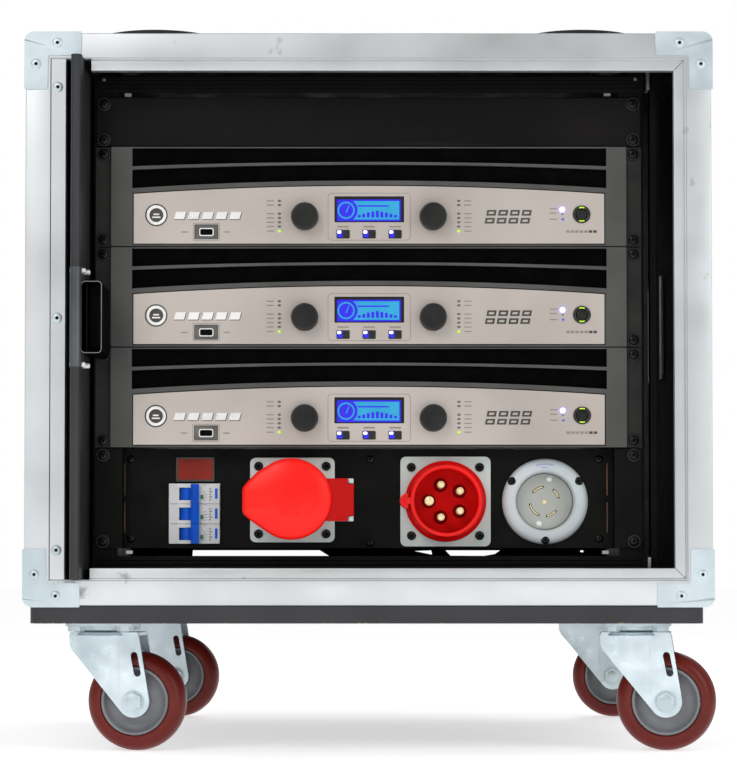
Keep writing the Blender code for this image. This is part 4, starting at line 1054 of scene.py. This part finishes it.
# Rack: screws, blank panel and inner frame


def screw(heads, recess_shade, place, radius, height):
    """A pan head, and its cross recess as painted shade: two crossed dark bars on the head."""
    shares = [(0, 1), (0.45, 0.97), (0.75, 0.8), (0.95, 0.45), (1, 0)]
    spin(heads, [*[(radius * out, height * up) for out, up in shares], (0, -0.3)], 28, place)
    for turn in (0.4, 0.4 + pi / 2):
        low = (-radius * 0.5, -radius * 0.11, height * 0.7)
        high = (radius * 0.5, radius * 0.11, height + 0.12)
        box(recess_shade, low, high, place @ rotate(turn, "Z"))


def make_rack_screws():
    heads, recess_shade, washers = meshes(3)
    edges = [(bottom, 2) for bottom in (PANEL_BOTTOM, *AMPS.values())] + [(EAR_LOW.z - 0.4, 1)]
    for bottom, units in edges:
        for height in (6.35, units * UNIT - 6.35):
            for x in (-234.2, 234.2):
                place = facing(x, RACK_FACE, bottom + height)
                spin(washers, [(0, 1.6), (5.6, 1.5), (6, 1), (6, 0), (0, 0)], 32, place)
                top = place @ shift(0, 0, 1.5)
                screw(heads, recess_shade, top, 4.7, 2.4)
    piece("rack_screw_washers", washers, BLACK, bevel=0.2)
    piece("rack_screw_heads", heads, SCREW)
    piece("rack_screw_recess_shade", recess_shade, DARK_SEAM_AND_HOLE_SHADE)


def on_side(x, sign):
    """A place on an outer side: local X is along the case, local Y is up and local Z points outward."""
    return shift(x, 0, 0) @ rotate(sign * pi / 2, "Z") @ UPRIGHT


def make_shade_lining():
    """Dull black sheets of painted shade on the inside of the shell, with a gap for each handle dish."""
    bm = bmesh.new()
    wall, thick, edge, front = 9.1, 0.25, 9.4, 0.5
    inset = Vector((edge, front, edge))
    inner_low, inner_high = SHELL_LOW + inset, SHELL_HIGH - inset
    for side, sign in (("left", -1), ("right", 1)):
        low, high = span(f"handle_dish_{side}")
        pan = Vector((0, 10, 10))
        outlines = []
        for near, far in ((inner_low, inner_high), (low + pan, high - pan)):
            outlines.append(oblong(*sorted((sign * near.y, sign * far.y)), near.z, far.z))
        skin = SHELL_HIGH.x if sign > 0 else SHELL_LOW.x
        prism(bm, outlines, -wall - thick, -wall, on_side(skin, sign))
    for level in (SHELL_LOW.z + wall, SHELL_HIGH.z - wall - thick):
        box(bm, (inner_low.x, inner_low.y, level), (inner_high.x, inner_high.y, level + thick))
    piece("inner_painted_shade", bm, SHADE_BLACK)


def make_rack():
    dress("blank_panel", BLANK)
    dress("rack_frame", RACK, 0.5)
    dress("door_track_top", RACK, 0.3)
    dress("door_track_bottom", RACK, 0.3)
    dress("case_shell", LAMINATE)
    low, high = span("rack_frame")
    floor, roof = SHELL_LOW.z + 9, SHELL_HIGH.z - 9
    rubber, bolts = meshes(2)
    for x in (-212, 212):
        for y in (RACK_FACE + 18.3, high.y - 15):
            for start, stop in ((floor + 0.4, 155.8), (598.7, roof - 0.4)):
                place = shift(x, y, start)
                tall = stop - start
                lower = [(0, 0), (13.6, 0), (14, 1)]
                upper = [(radius, tall - up) for radius, up in reversed(lower)]
                spin(rubber, [*lower, (12.6, tall / 2), *upper], 32, place)
    for x, z in ((-211.3, 175.4), (209.4, 175.3), (-213.6, 581.4), (212, 582)):
        box(bolts, (x - 2.9, RACK_FACE + 6, z - 1.5), (x + 2.9, RACK_FACE + 12, z + 1.5))
    for x, z in ((-234.6, 594.5), (236.6, 595)):
        spin(bolts, [(0, 1.6), (1.5, 1.4), (2.2, 0), (0, -0.2)], 20, facing(x, low.y - 0.1, z))
    piece("shock_mount_rubbers", rubber, RUBBER)
    piece("rack_frame_bolts", bolts, STEEL)
    bars = bmesh.new()
    for start, stop in ((584, 597.5), (157, 171.2)):
        for i in range(4):
            step = (stop - start) / 4
            base = start + step * i
            box(bars, (-240.5, low.y - 1.4, base + 0.4), (240.5, low.y - 0.2, base + step - 0.4))
    piece("extrusion_ribs", bars, RACK, bevel=0.4)
    make_shade_lining()
    post = bmesh.new()
    box(post, (249.4, RACK_FACE + 2, SHELL_LOW.z + 9.5), (257.4, RACK_FACE + 22, roof - 0.5))
    box(post, (251.6, RACK_FACE + 0.4, SHELL_LOW.z + 9.5), (255.2, RACK_FACE + 2, roof - 0.5))
    piece("right_hand_post", post, RACK, bevel=0.6)
    tabs = bmesh.new()
    box(tabs, (245.8, RACK_FACE - 4, 584.5), (248.8, RACK_FACE + 14, 602))
    box(tabs, (245.8, RACK_FACE - 4, 157.5), (248.8, RACK_FACE + 14, 171))
    piece("bright_corner_tabs", tabs, STEEL, bevel=0.4)


# Power panel


def make_panel_details():
    dress("power_panel", RACK, 0.4)
    screws, recess_shade, slit_glints = meshes(3)
    for x, z in ((-211, 258), (-211, 187.5), (205, 258), (205, 187.5), (1.5, 258), (1.5, 184)):
        place = facing(x, TRAY_FACE, z)
        screw(screws, recess_shade, place, 3.6, 1.9)
    # painted light: brown strips on the tray face stand in for the slits' bare metal edges and the light
    # that shows through them
    for x in (-216.4, 211.9):
        for low, high in ((226, 254.5), (193, 219.5)):
            box(slit_glints, (x - 0.35, TRAY_FACE - 0.4, low), (x + 0.35, TRAY_FACE - 0.1, high))
    piece("panel_screws", screws, SCREW)
    piece("panel_screw_recess_shade", recess_shade, DARK_SEAM_AND_HOLE_SHADE)
    piece("panel_slit_glints", slit_glints, surface("slit_glint", "5a4030", "7a5a44", 0.5))
    # painted shade: a near-black sheet with gaps, and a shelf over it, behind the bottom of the power
    # panel's recess
    shade_sheet = bmesh.new()
    sheet = [(-214, 169.5), (214, 169.5), (214, 184), (-214, 184)]
    gaps = [
        [(-159, 170.6), (-33, 170.6), (-44, 177.3), (-158.4, 177.3)],
        [(41.6, 176.6), (56.6, 177.2), (57.4, 173.4)],
        [(69.4, 177.2), (74, 172.5), (104, 172.3), (114, 174), (118.6, 177.2)],
        [(191, 175.6), (197.3, 175.6), (197.3, 177.2), (191, 177.2)],
    ]
    prism(shade_sheet, [sheet, *gaps], -42, -40.5, facing(0, TRAY_FACE, 0))
    box(shade_sheet, (-214, TRAY_FACE + 2.3, 184.2), (214, TRAY_FACE + 42, 185.6))
    piece("painted_panel_recess_shade", shade_sheet, SHADE_BLACK)
    lens, rim = meshes(2)
    window = rounded(-170.9, -136.9, 238.2, 259.6, 0.8, 3)
    glass = rounded(-169.3, -138.3, 239.9, 258.1, 0.5, 3)
    place = facing(0, TRAY_FACE, 0)
    prism(rim, [window, glass], 0.2, 1.8, place)
    prism(lens, [glass], 0.2, 1.3, place)
    piece("indicator_rim", rim, MARK, bevel=0.3)
    piece("indicator_lens", lens, LENS, bevel=0.2)


def make_breaker():
    low, high = span("breaker_body")
    pivot = joint_place("breaker_throw")
    modules, ribs, labels, flags, names = meshes(5)
    pitch = (high.z - low.z) / 3
    place = facing(0, low.y, 0)
    pocket_left, pocket_right = pivot.x - 6.9, pivot.x + 8.6
    for i in range(3):
        foot = low.z + pitch * i + 0.12
        head = foot + pitch - 0.24
        outline = oblong(low.x, high.x, foot, head)
        hole = oblong(pocket_left, pocket_right, foot + 1.5, head - 1.5)
        prism(modules, [outline, hole], -11, 0, place)
        prism(modules, [outline], low.y - high.y, -11, place)
        for edge, out in ((foot, 1), (head, -1)):
            tab = [(-8.5, 0), (3.4, 0), (4.6, 1.2), (4.4, 2.6), (3, 3.2), (-8.5, 3.2)]
            prism(ribs, [[(pivot.x + x, edge + out * z) for x, z in tab]], -8, 0.25, place)
        x = pivot.x + 13.2
        for row in range(5):
            start = foot + 3 + 2.4 * row
            box(labels, (x + 6.6, start, 0), (x + 8.2 + 0.8 * (row % 2), start + 1.2, 0.08), place)
            start += 4 * (row > 3)
            box(labels, (x + 1.2, start, 0), (x + 3.4 + 0.7 * (row % 3), start + 0.5, 0.08), place)
        box(flags, (x - 1.2, foot + 3.9, 0), (x + 1.4, foot + 7.8, 0.15), place)
        box(names, (x + 11.6, foot + 4.4, 0), (x + 14, foot + 13.6, 0.1), place)
    piece("breaker_modules", modules, BREAKER, bevel=0.35, replaces=["breaker_body"])
    # painted highlight: the cheeks are lighter than the modules
    piece("breaker_cheeks", ribs, CHEEK_HIGHLIGHT, bevel=0.2)
    piece("breaker_labels", labels, LINE)
    piece("breaker_flags", flags, GREEN)
    piece("breaker_blue_labels", names, BLUE)
    lean = radians(35)
    middle = (low.z + high.z) / 2
    turn = shift(pivot.x, pivot.y, middle) @ rotate(lean, "Z")
    toggle = bmesh.new()
    reach = (high.z - low.z) / 6 - 0.15
    for i in range(3):
        spot = turn @ shift(0, 0, (i - 1) * pitch)
        spin(toggle, [(0, 5.3), (5.9, 5.3), (6.2, 5), (6.2, -5), (5.9, -5.3), (0, -5.3)], 48, spot)
        box(toggle, (-1.5, -15, -5.2), (1.5, 0, 5.2), spot)
        box(toggle, (-3.4, -16, -reach), (2.4, -10.8, reach), spot)
    node = "breaker_toggle"
    piece("tied_toggles", toggle, BLUE, node, bevel=0.5, replaces=[node])


FIVE_PINS = circle(0, 0, 15, 5, pi)  # the first is the thicker earth pin


def square_flange(name, centre, wide, tall, reach, node):
    """The grey mounting flange of a square socket, with a black screw at each corner."""
    x, z = centre
    flange, screws, recess_shade = meshes(3)
    place = facing(x, TRAY_FACE, z)
    outline = rounded(-wide / 2, wide / 2, -tall / 2, tall / 2, 5, 6)
    prism(flange, [outline, circle(0, 0, 31, 64)], 0.3, 4, place)
    for side, level in CORNERS:
        spot = place @ shift(side * reach, level * reach, 3.9)
        spin(screws, [(0, 0.9), (1.7, 0.9), (1.7, 2), (3.2, 2.1), (3.9, 1.4), (4, 0), (0, 0)], 32, spot)
        # painted shade: a dark hexagon in each screw head stands in for the shade in its socket
        spin(recess_shade, [(0, 1.1), (1.6, 1.1), (1.6, 0.9), (0, 0.9)], 6, spot)
    piece(f"{name}_flange", flange, FLANGE, bevel=0.6, segments=3, replaces=[node])
    piece(f"{name}_screws", screws, SCREW)
    piece(f"{name}_screw_socket_shade", recess_shade, DARK_SEAM_AND_HOLE_SHADE)


def rear_housing(bm, centre, radius, start=0):
    x, z = centre
    profile = [(0, start), (radius, start), (radius, -44), (radius - 3, -49), (0, -49)]
    spin(bm, profile, 48, facing(x, TRAY_FACE, z))


def make_covered_socket():
    hinge = joint_place("socket_cover_hinge")
    x, z = -67.5, 221.7
    square_flange("covered_socket", (x, z), 75, 75, 30, "covered_socket")
    reach = 45.4
    body = bmesh.new()
    collar = [
        (0, reach - 3), (22, reach - 3), (22.4, reach - 3.6), (22.4, 12), (26.9, 12),
        (26.9, reach - 0.6), (27.4, reach), (31.8, reach), (32.4, reach - 0.8), (33.4, 16), (34.4, 14),
        (34.6, 4.2), (30, 4.2), (0, 4.2),
    ]
    spin(body, collar, 96, facing(x, TRAY_FACE, z))
    rear_housing(body, (x, z), 30.6)
    box(body, (x + 30, hinge.y - 2.8, 212.4), (hinge.x + 2.6, hinge.y + 3.4, 229.6))
    lugs = bmesh.new()
    for low in (202.4, 235.2):
        box(lugs, (hinge.x - 2, hinge.y - 4.6, low), (hinge.x + 2.4, hinge.y + 3.4, low + 4.4))
        box(lugs, (x + 31, hinge.y + 1.4, low), (hinge.x + 2.4, hinge.y + 3.4, low + 4.4))
    piece("cover_hinge_lugs", lugs, FLANGE, bevel=0.5)
    piece("covered_socket_body", body, RED, bevel=0.3, replaces=["covered_socket"])
    holes = bmesh.new()
    # painted shade: a dark disc at each pin hole stands in for the shade inside it
    for i, (across, up) in enumerate(FIVE_PINS):
        spot = facing(x + across, TRAY_FACE - reach + 3, z + up)
        radius = 4.2 if i == 0 else 3.3
        spin(holes, [(0, 0.25), (radius, 0.25), (radius, 0), (0, 0)], 24, spot)
    piece("covered_socket_hole_shade", holes, DARK_SEAM_AND_HOLE_SHADE)
    pin = bmesh.new()
    spin(pin, [(0, 19), (1.5, 18.8), (1.5, -18.8), (0, -19)], 20, shift(hinge.x, hinge.y, 221))
    for level in (-1, 1):
        for turn in range(4):
            coil = shift(hinge.x, hinge.y, 221 + level * 11.6 + (turn - 1.5) * 0.62)
            spin(pin, [(1.7, -0.3), (2.6, 0), (1.7, 0.3)], 20, coil, closed=True)
    piece("cover_hinge_pin", pin, STEEL)
    make_cover(x, z, hinge)


def make_cover(x, z, hinge):
    """A crowned lid with a finger lobe at the left and an arm to the hinge at the right."""
    tip = -110
    disc = arc(x, z, 35.6, -118, 118, 44)
    upper = [(-97, 245.2), (-105.5, 236.8), (-109, 232.4), (tip, 229.6)]
    lower = [(tip, 211.6), (-109, 208.4), (-105, 204.6), (-97, 198.8)]
    outline = [*disc, *upper, *lower]
    back = span("socket_cover")[0].y + 4.2
    place = facing(0, back, 0)
    lid = bmesh.new()
    rings = [(0.94, 0), (0.985, 0), (1, 0.8), (1, 4.4), (0.985, 5.8), (0.955, 6.8), (0.9, 7.8), (0.8, 9)]
    rings += [(0.65, 10.2), (0.48, 11), (0.3, 11.5), (0.12, 11.7)]
    crown(lid, outline, rings, place)
    piece("socket_lid", lid, COVER, "socket_cover", replaces=["socket_cover"], sharp=50)
    ribs = bmesh.new()
    bend = arc(x + 6, z, 17.6, -58, 58, 20) + arc(x + 6, z, 16.6, 58, -58, 20)
    prism(ribs, [bend], 9.6, 11.3, place)
    prism(ribs, [rounded(-99.8, -96.4, 206.5, 235.5, 1.6)], 5.8, 8.3, place)
    for column in range(4):
        for row in range(6):
            left, low = x - 9 + 4.6 * column, z - 14 + 4.6 * row
            box(ribs, (left, low, 10.4), (left + 2.6, low + 2.8 - 0.6 * (column % 2), 12.3), place)
    piece("socket_lid_ribs", ribs, COVER, "socket_cover", bevel=0.5)
    arm = bmesh.new()
    edge = hinge.x + 2.4
    shape = [(-37, 202.4), (edge - 4.8, 202.4), (edge - 4.8, 207.2), (edge, 207.2), (edge, 234.8)]
    shape += [(edge - 4.8, 234.8), (edge - 4.8, 239.6), (-37, 239.6)]
    prism(arm, [shape], 0.4, 3.4, place)
    for low, high in ((207.2, 212), (230, 234.8)):
        knuckle = shift(hinge.x, hinge.y, low)
        spin(arm, [(1.9, 0), (3.1, 0), (3.1, high - low), (1.9, high - low)], 32, knuckle, closed=True)
    piece("socket_lid_arm", arm, ARM_SHADE_RED, "socket_cover", bevel=0.7, segments=3)


def make_inlet():
    x, z = 68.3, 220.4
    square_flange("power_inlet", (x, z), 80, 79.6, 30.3, "power_inlet")
    reach = 37.4
    shell, insert, pins, pin_foot_shade = meshes(4)
    wall = [
        (27.4, 9), (28.1, reach - 1), (28.6, reach), (31.2, reach), (31.8, reach - 0.7), (33, 19),
        (34.6, 17.6), (35.7, 16.2), (35.9, 4.2), (27.4, 4.2),
    ]
    place = facing(x, TRAY_FACE, z)
    spin(shell, wall, 96, place, closed=True)
    key = arc(-34.4, 0, 6.4, 80, 280, 18)
    prism(shell, [key], 4.2, reach - 2.4, place)
    prism(shell, [rounded(-36.4, -28.2, -2.9, 2.9, 2.8, 6)], reach - 3, reach - 0.4, place)
    rear_housing(shell, (x, z), 30.6)
    spin(insert, [(0, 9.2), (27.3, 9.2), (27.3, 4.2), (0, 4.2)], 72, place)
    for i, (across, up) in enumerate(FIVE_PINS):
        spot = place @ shift(across, up, 0)
        radius = 4 if i == 0 else 3.2
        spin(pins, [(0, 34), (radius * 0.7, 33.8), (radius, 32.8), (radius, 9), (0, 9)], 32, spot)
        # painted shade: a thin dark red ring round each pin's foot stands in for the shade there
        collar = [(radius + 0.2, 9.1), (radius + 0.2, 9.3), (6.2, 9.3), (6.2, 9.1)]
        spin(pin_foot_shade, collar, 40, spot, closed=True)
    piece("inlet_shroud", shell, RED, bevel=0.3, replaces=["power_inlet"])
    piece("inlet_insert", insert, DARK_RED)
    piece("inlet_pins", pins, BRASS)
    piece("inlet_pin_foot_shade", pin_foot_shade, SHADE_RED)


def make_outlet():
    x, z = 156.7, 220.5
    place = facing(x, TRAY_FACE, z)
    ring, face, blades, slots, caps, screws, recess_shade, print_marks = meshes(8)
    profile = [
        (25.3, -6), (25.6, 4.4), (26.4, 6.2), (29, 7.2), (33, 7), (36.4, 5.4), (38, 2.6), (38.1, 0.3),
        (28.6, 0.3), (28.6, -6),
    ]
    spin(ring, profile, 112, place, closed=True)
    profile = [(2.4, -5.9), (24.4, -5.9), (25.2, -6.6), (25.2, -9), (2.4, -9)]
    spin(face, profile, 80, place, closed=True)
    # painted shade: dark arcs on the face stand in for the shade inside the blade slots, with a brass blade
    # drawn in each
    for start, turn in ((93, 50), (13, 42), (276, 47), (188, 62)):
        prism(slots, [arc_band(14.1, 11.9, start, start + turn, 12)], -5.9, -5.8, place)
        prism(blades, [arc_band(13.5, 12.4, start + 4, start + turn - 4, 12)], -5.85, -5.6, place)
    for i in range(9):
        start = 76 + 3.2 * i
        for outer, inner in ((33.4, 32.2), (30.6, 29.6)):
            if inner > 32 or 2 < i < 7:
                prism(print_marks, [arc_band(outer, inner, start, start + 2.2, 2)], 6.6, 7.35, place)
    piece("outlet_print", print_marks, FADED_BLUE)
    spin(blades, [(0, -6.6), (2.2, -6.6), (2.2, -8.6), (0, -8.6)], 20, place)
    for angle in (78, 256):
        spot = place @ shift(20.4 * cos(radians(angle)), 20.4 * sin(radians(angle)), -5.9)
        spin(caps, [(0, 0.9), (1.8, 0.7), (2.6, 0), (0, -0.1)], 24, spot)
    for angle in (31, 149, 270):
        spot = place @ shift(34.2 * cos(radians(angle)), 34.2 * sin(radians(angle)), 5.6)
        screw(screws, recess_shade, spot, 4, 2)
    rear_housing(ring, (x, z), 28.4, -9.2)
    piece("outlet_ring", ring, NYLON, replaces=["locking_outlet"], sharp=50)
    piece("outlet_face", face, INSERT, bevel=0.2)
    piece("outlet_slot_shade", slots, DARK_SEAM_AND_HOLE_SHADE)
    piece("outlet_blades", blades, BRASS)
    piece("outlet_rivets", caps, SILVER)
    piece("outlet_screws", screws, SCREW)
    piece("outlet_screw_recess_shade", recess_shade, DARK_SEAM_AND_HOLE_SHADE)


# The pocket door and the side handles


def make_door():
    low, high = span("pocket_door")
    left, right = low.x, low.x + 9
    bm = bmesh.new()
    nose = (right - left) / 2
    middle = (left + right) / 2
    plan = arc(middle, low.y + nose * 0.8, nose, 180, 360, 14) + [(right, high.y), (left, high.y)]
    prism(bm, [plan], low.z, high.z)
    body = "pocket_door"
    piece("door_panel", bm, DOOR, body, bevel=3, segments=4, replaces=[body])
    latch_low, latch_high = 346, 408
    front = low.y + 4
    back = RACK_FACE - 5
    shell, inside, bolts, cover = meshes(4)
    outline = rounded(right, high.x, latch_low, latch_high, 3.5, 5)
    hollow = rounded(right + 1, high.x - 1.3, latch_low + 1.6, latch_high - 1.6, 2.4, 5)
    prism(shell, [outline, hollow], -(front + 32), -front, UPRIGHT)
    prism(shell, [outline], -back, -(front + 32), UPRIGHT)
    prism(inside, [hollow], -(front + 32), -(front + 30), UPRIGHT)
    box(inside, (right + 4.6, front + 3, latch_low + 2), (right + 5.1, front + 31, latch_high - 2))
    for z in (417.5, 336.5):
        for y, reach in ((front + 6, 3.6), (front + 22, 6)):
            spot = shift(right, y, z) @ rotate(pi / 2, "Y")
            spin(bolts, [(0, reach), (1.6, reach - 0.2), (2.3, reach - 1.2), (2.3, 0), (0, -0.1)], 20, spot)
        spot = shift(left, front + 6, z) @ rotate(-pi / 2, "Y")
        spin(bolts, [(0, 1.4), (2.2, 1), (2.6, 0), (0, -0.1)], 20, spot)
    plan = arc(middle, low.y + nose * 0.8, nose + 0.5, 180, 360, 14)
    plan += [(right + 0.5, front + 28), (left - 0.5, front + 28)]
    prism(cover, [plan], 334, 420)
    lip = bmesh.new()
    inside_lip = rounded(right + 0.55, high.x - 0.55, latch_low + 0.55, latch_high - 0.55, 3, 5)
    prism(lip, [outline, inside_lip], -front, -front + 0.25, UPRIGHT)
    # painted shade: the latch's housing, and the block behind it back to the rack, are in the near-black of
    # painted shade
    piece("latch_housing", shell, SHADE_BLACK, body, bevel=0.4)
    piece("latch_lip", lip, HUB, body)
    piece("latch_inside", inside, RACK, body)
    piece("latch_bolts", bolts, SILVER, body)
    edge = surface("edge_cover", "4b4c50", "606166", 0.36, 0.5, 12, 900, relief=0.15)
    piece("latch_edge_cover", cover, edge, body, bevel=0.3, sharp=25)


def make_handles():
    for side, sign in (("left", -1), ("right", 1)):
        node = f"handle_dish_{side}"
        low, high = span(node)
        skin = high.x if sign > 0 else low.x
        floor = low.x if sign > 0 else high.x
        deep = abs(skin - floor)
        place = on_side(skin, sign)
        across = sorted((sign * low.y, sign * high.y))
        outline = rounded(*across, low.z, high.z, 6)
        edge = 11.4
        mouth = rounded(across[0] + edge, across[1] - edge, low.z + edge, high.z - edge, 5)
        grow = 1.1
        rim = edge - grow
        outside = rounded(across[0] + rim, across[1] - rim, low.z + rim, high.z - rim, 6)
        bm = bmesh.new()
        prism(bm, [outline, mouth], -1.2, 0, place)
        prism(bm, [outside, mouth], -deep + 1.1, -1.2, place)
        prism(bm, [outside], -deep, -deep + 1.1, place)
        heads = bmesh.new()
        for y in (low.y + 5.6, (low.y + high.y) / 2, high.y - 5.6):
            for z in (low.z + 5.6, high.z - 5.6):
                spot = shift(skin, y, z) @ rotate(sign * pi / 2, "Y")
                rivet(heads, spot, SMALL_RIVET)
        piece(f"pressed_{node}", bm, ZINC, bevel=0.3, replaces=[node])
        piece(f"handle_rivets_{side}", heads, ZINC)
        make_grip(side)


def make_grip(side):
    node = f"side_handle_{side}"
    low, high = span(node)
    centre = (low + high) / 2
    radius = (high.x - low.x) / 2
    top, foot = high.z - radius, low.z + radius
    half = (high.y - low.y) / 2
    leg = 48
    bend = 7
    route = [(half, top), (leg + bend, top)]
    route += [(leg + bend - bend * sin(a), top - bend + bend * cos(a)) for a in (0.4, 0.8, 1.2, pi / 2)]
    route += [(leg, foot + bend)]
    route += [(leg - bend + bend * cos(a), foot + bend - bend * sin(a)) for a in (0.4, 0.8, 1.2, pi / 2)]
    route += [(-y, z) for y, z in reversed(route)]
    points = [Vector((centre.x, centre.y + y, z)) for y, z in route]
    bar, grip = meshes(2)
    tube(bar, points, radius * 0.92, 20)
    profile = [(0, 33), (4.2, 32.6), (4.9, 31)]
    for i in range(9):
        ridge = 26 - 6.5 * i
        profile += [(4.9, ridge + 1.6), (4.5, ridge), (4.9, ridge - 1.6)]
    profile += [(4.9, -31), (4.2, -32.6), (0, -33)]
    spin(grip, profile, 32, shift(centre.x, centre.y, foot) @ UPRIGHT)
    piece(f"handle_bar_{side}", bar, ZINC, node, replaces=[node])
    piece(f"handle_grip_{side}", grip, RUBBER, node)


make_camera()
make_studio()
make_frames()
make_corners()
make_edge_angles()
make_board()
make_cups()
make_casters()
make_rack()
make_amplifiers()
make_rack_screws()
make_panel_details()
make_breaker()
make_covered_socket()
make_inlet()
make_outlet()
make_door()
make_handles()
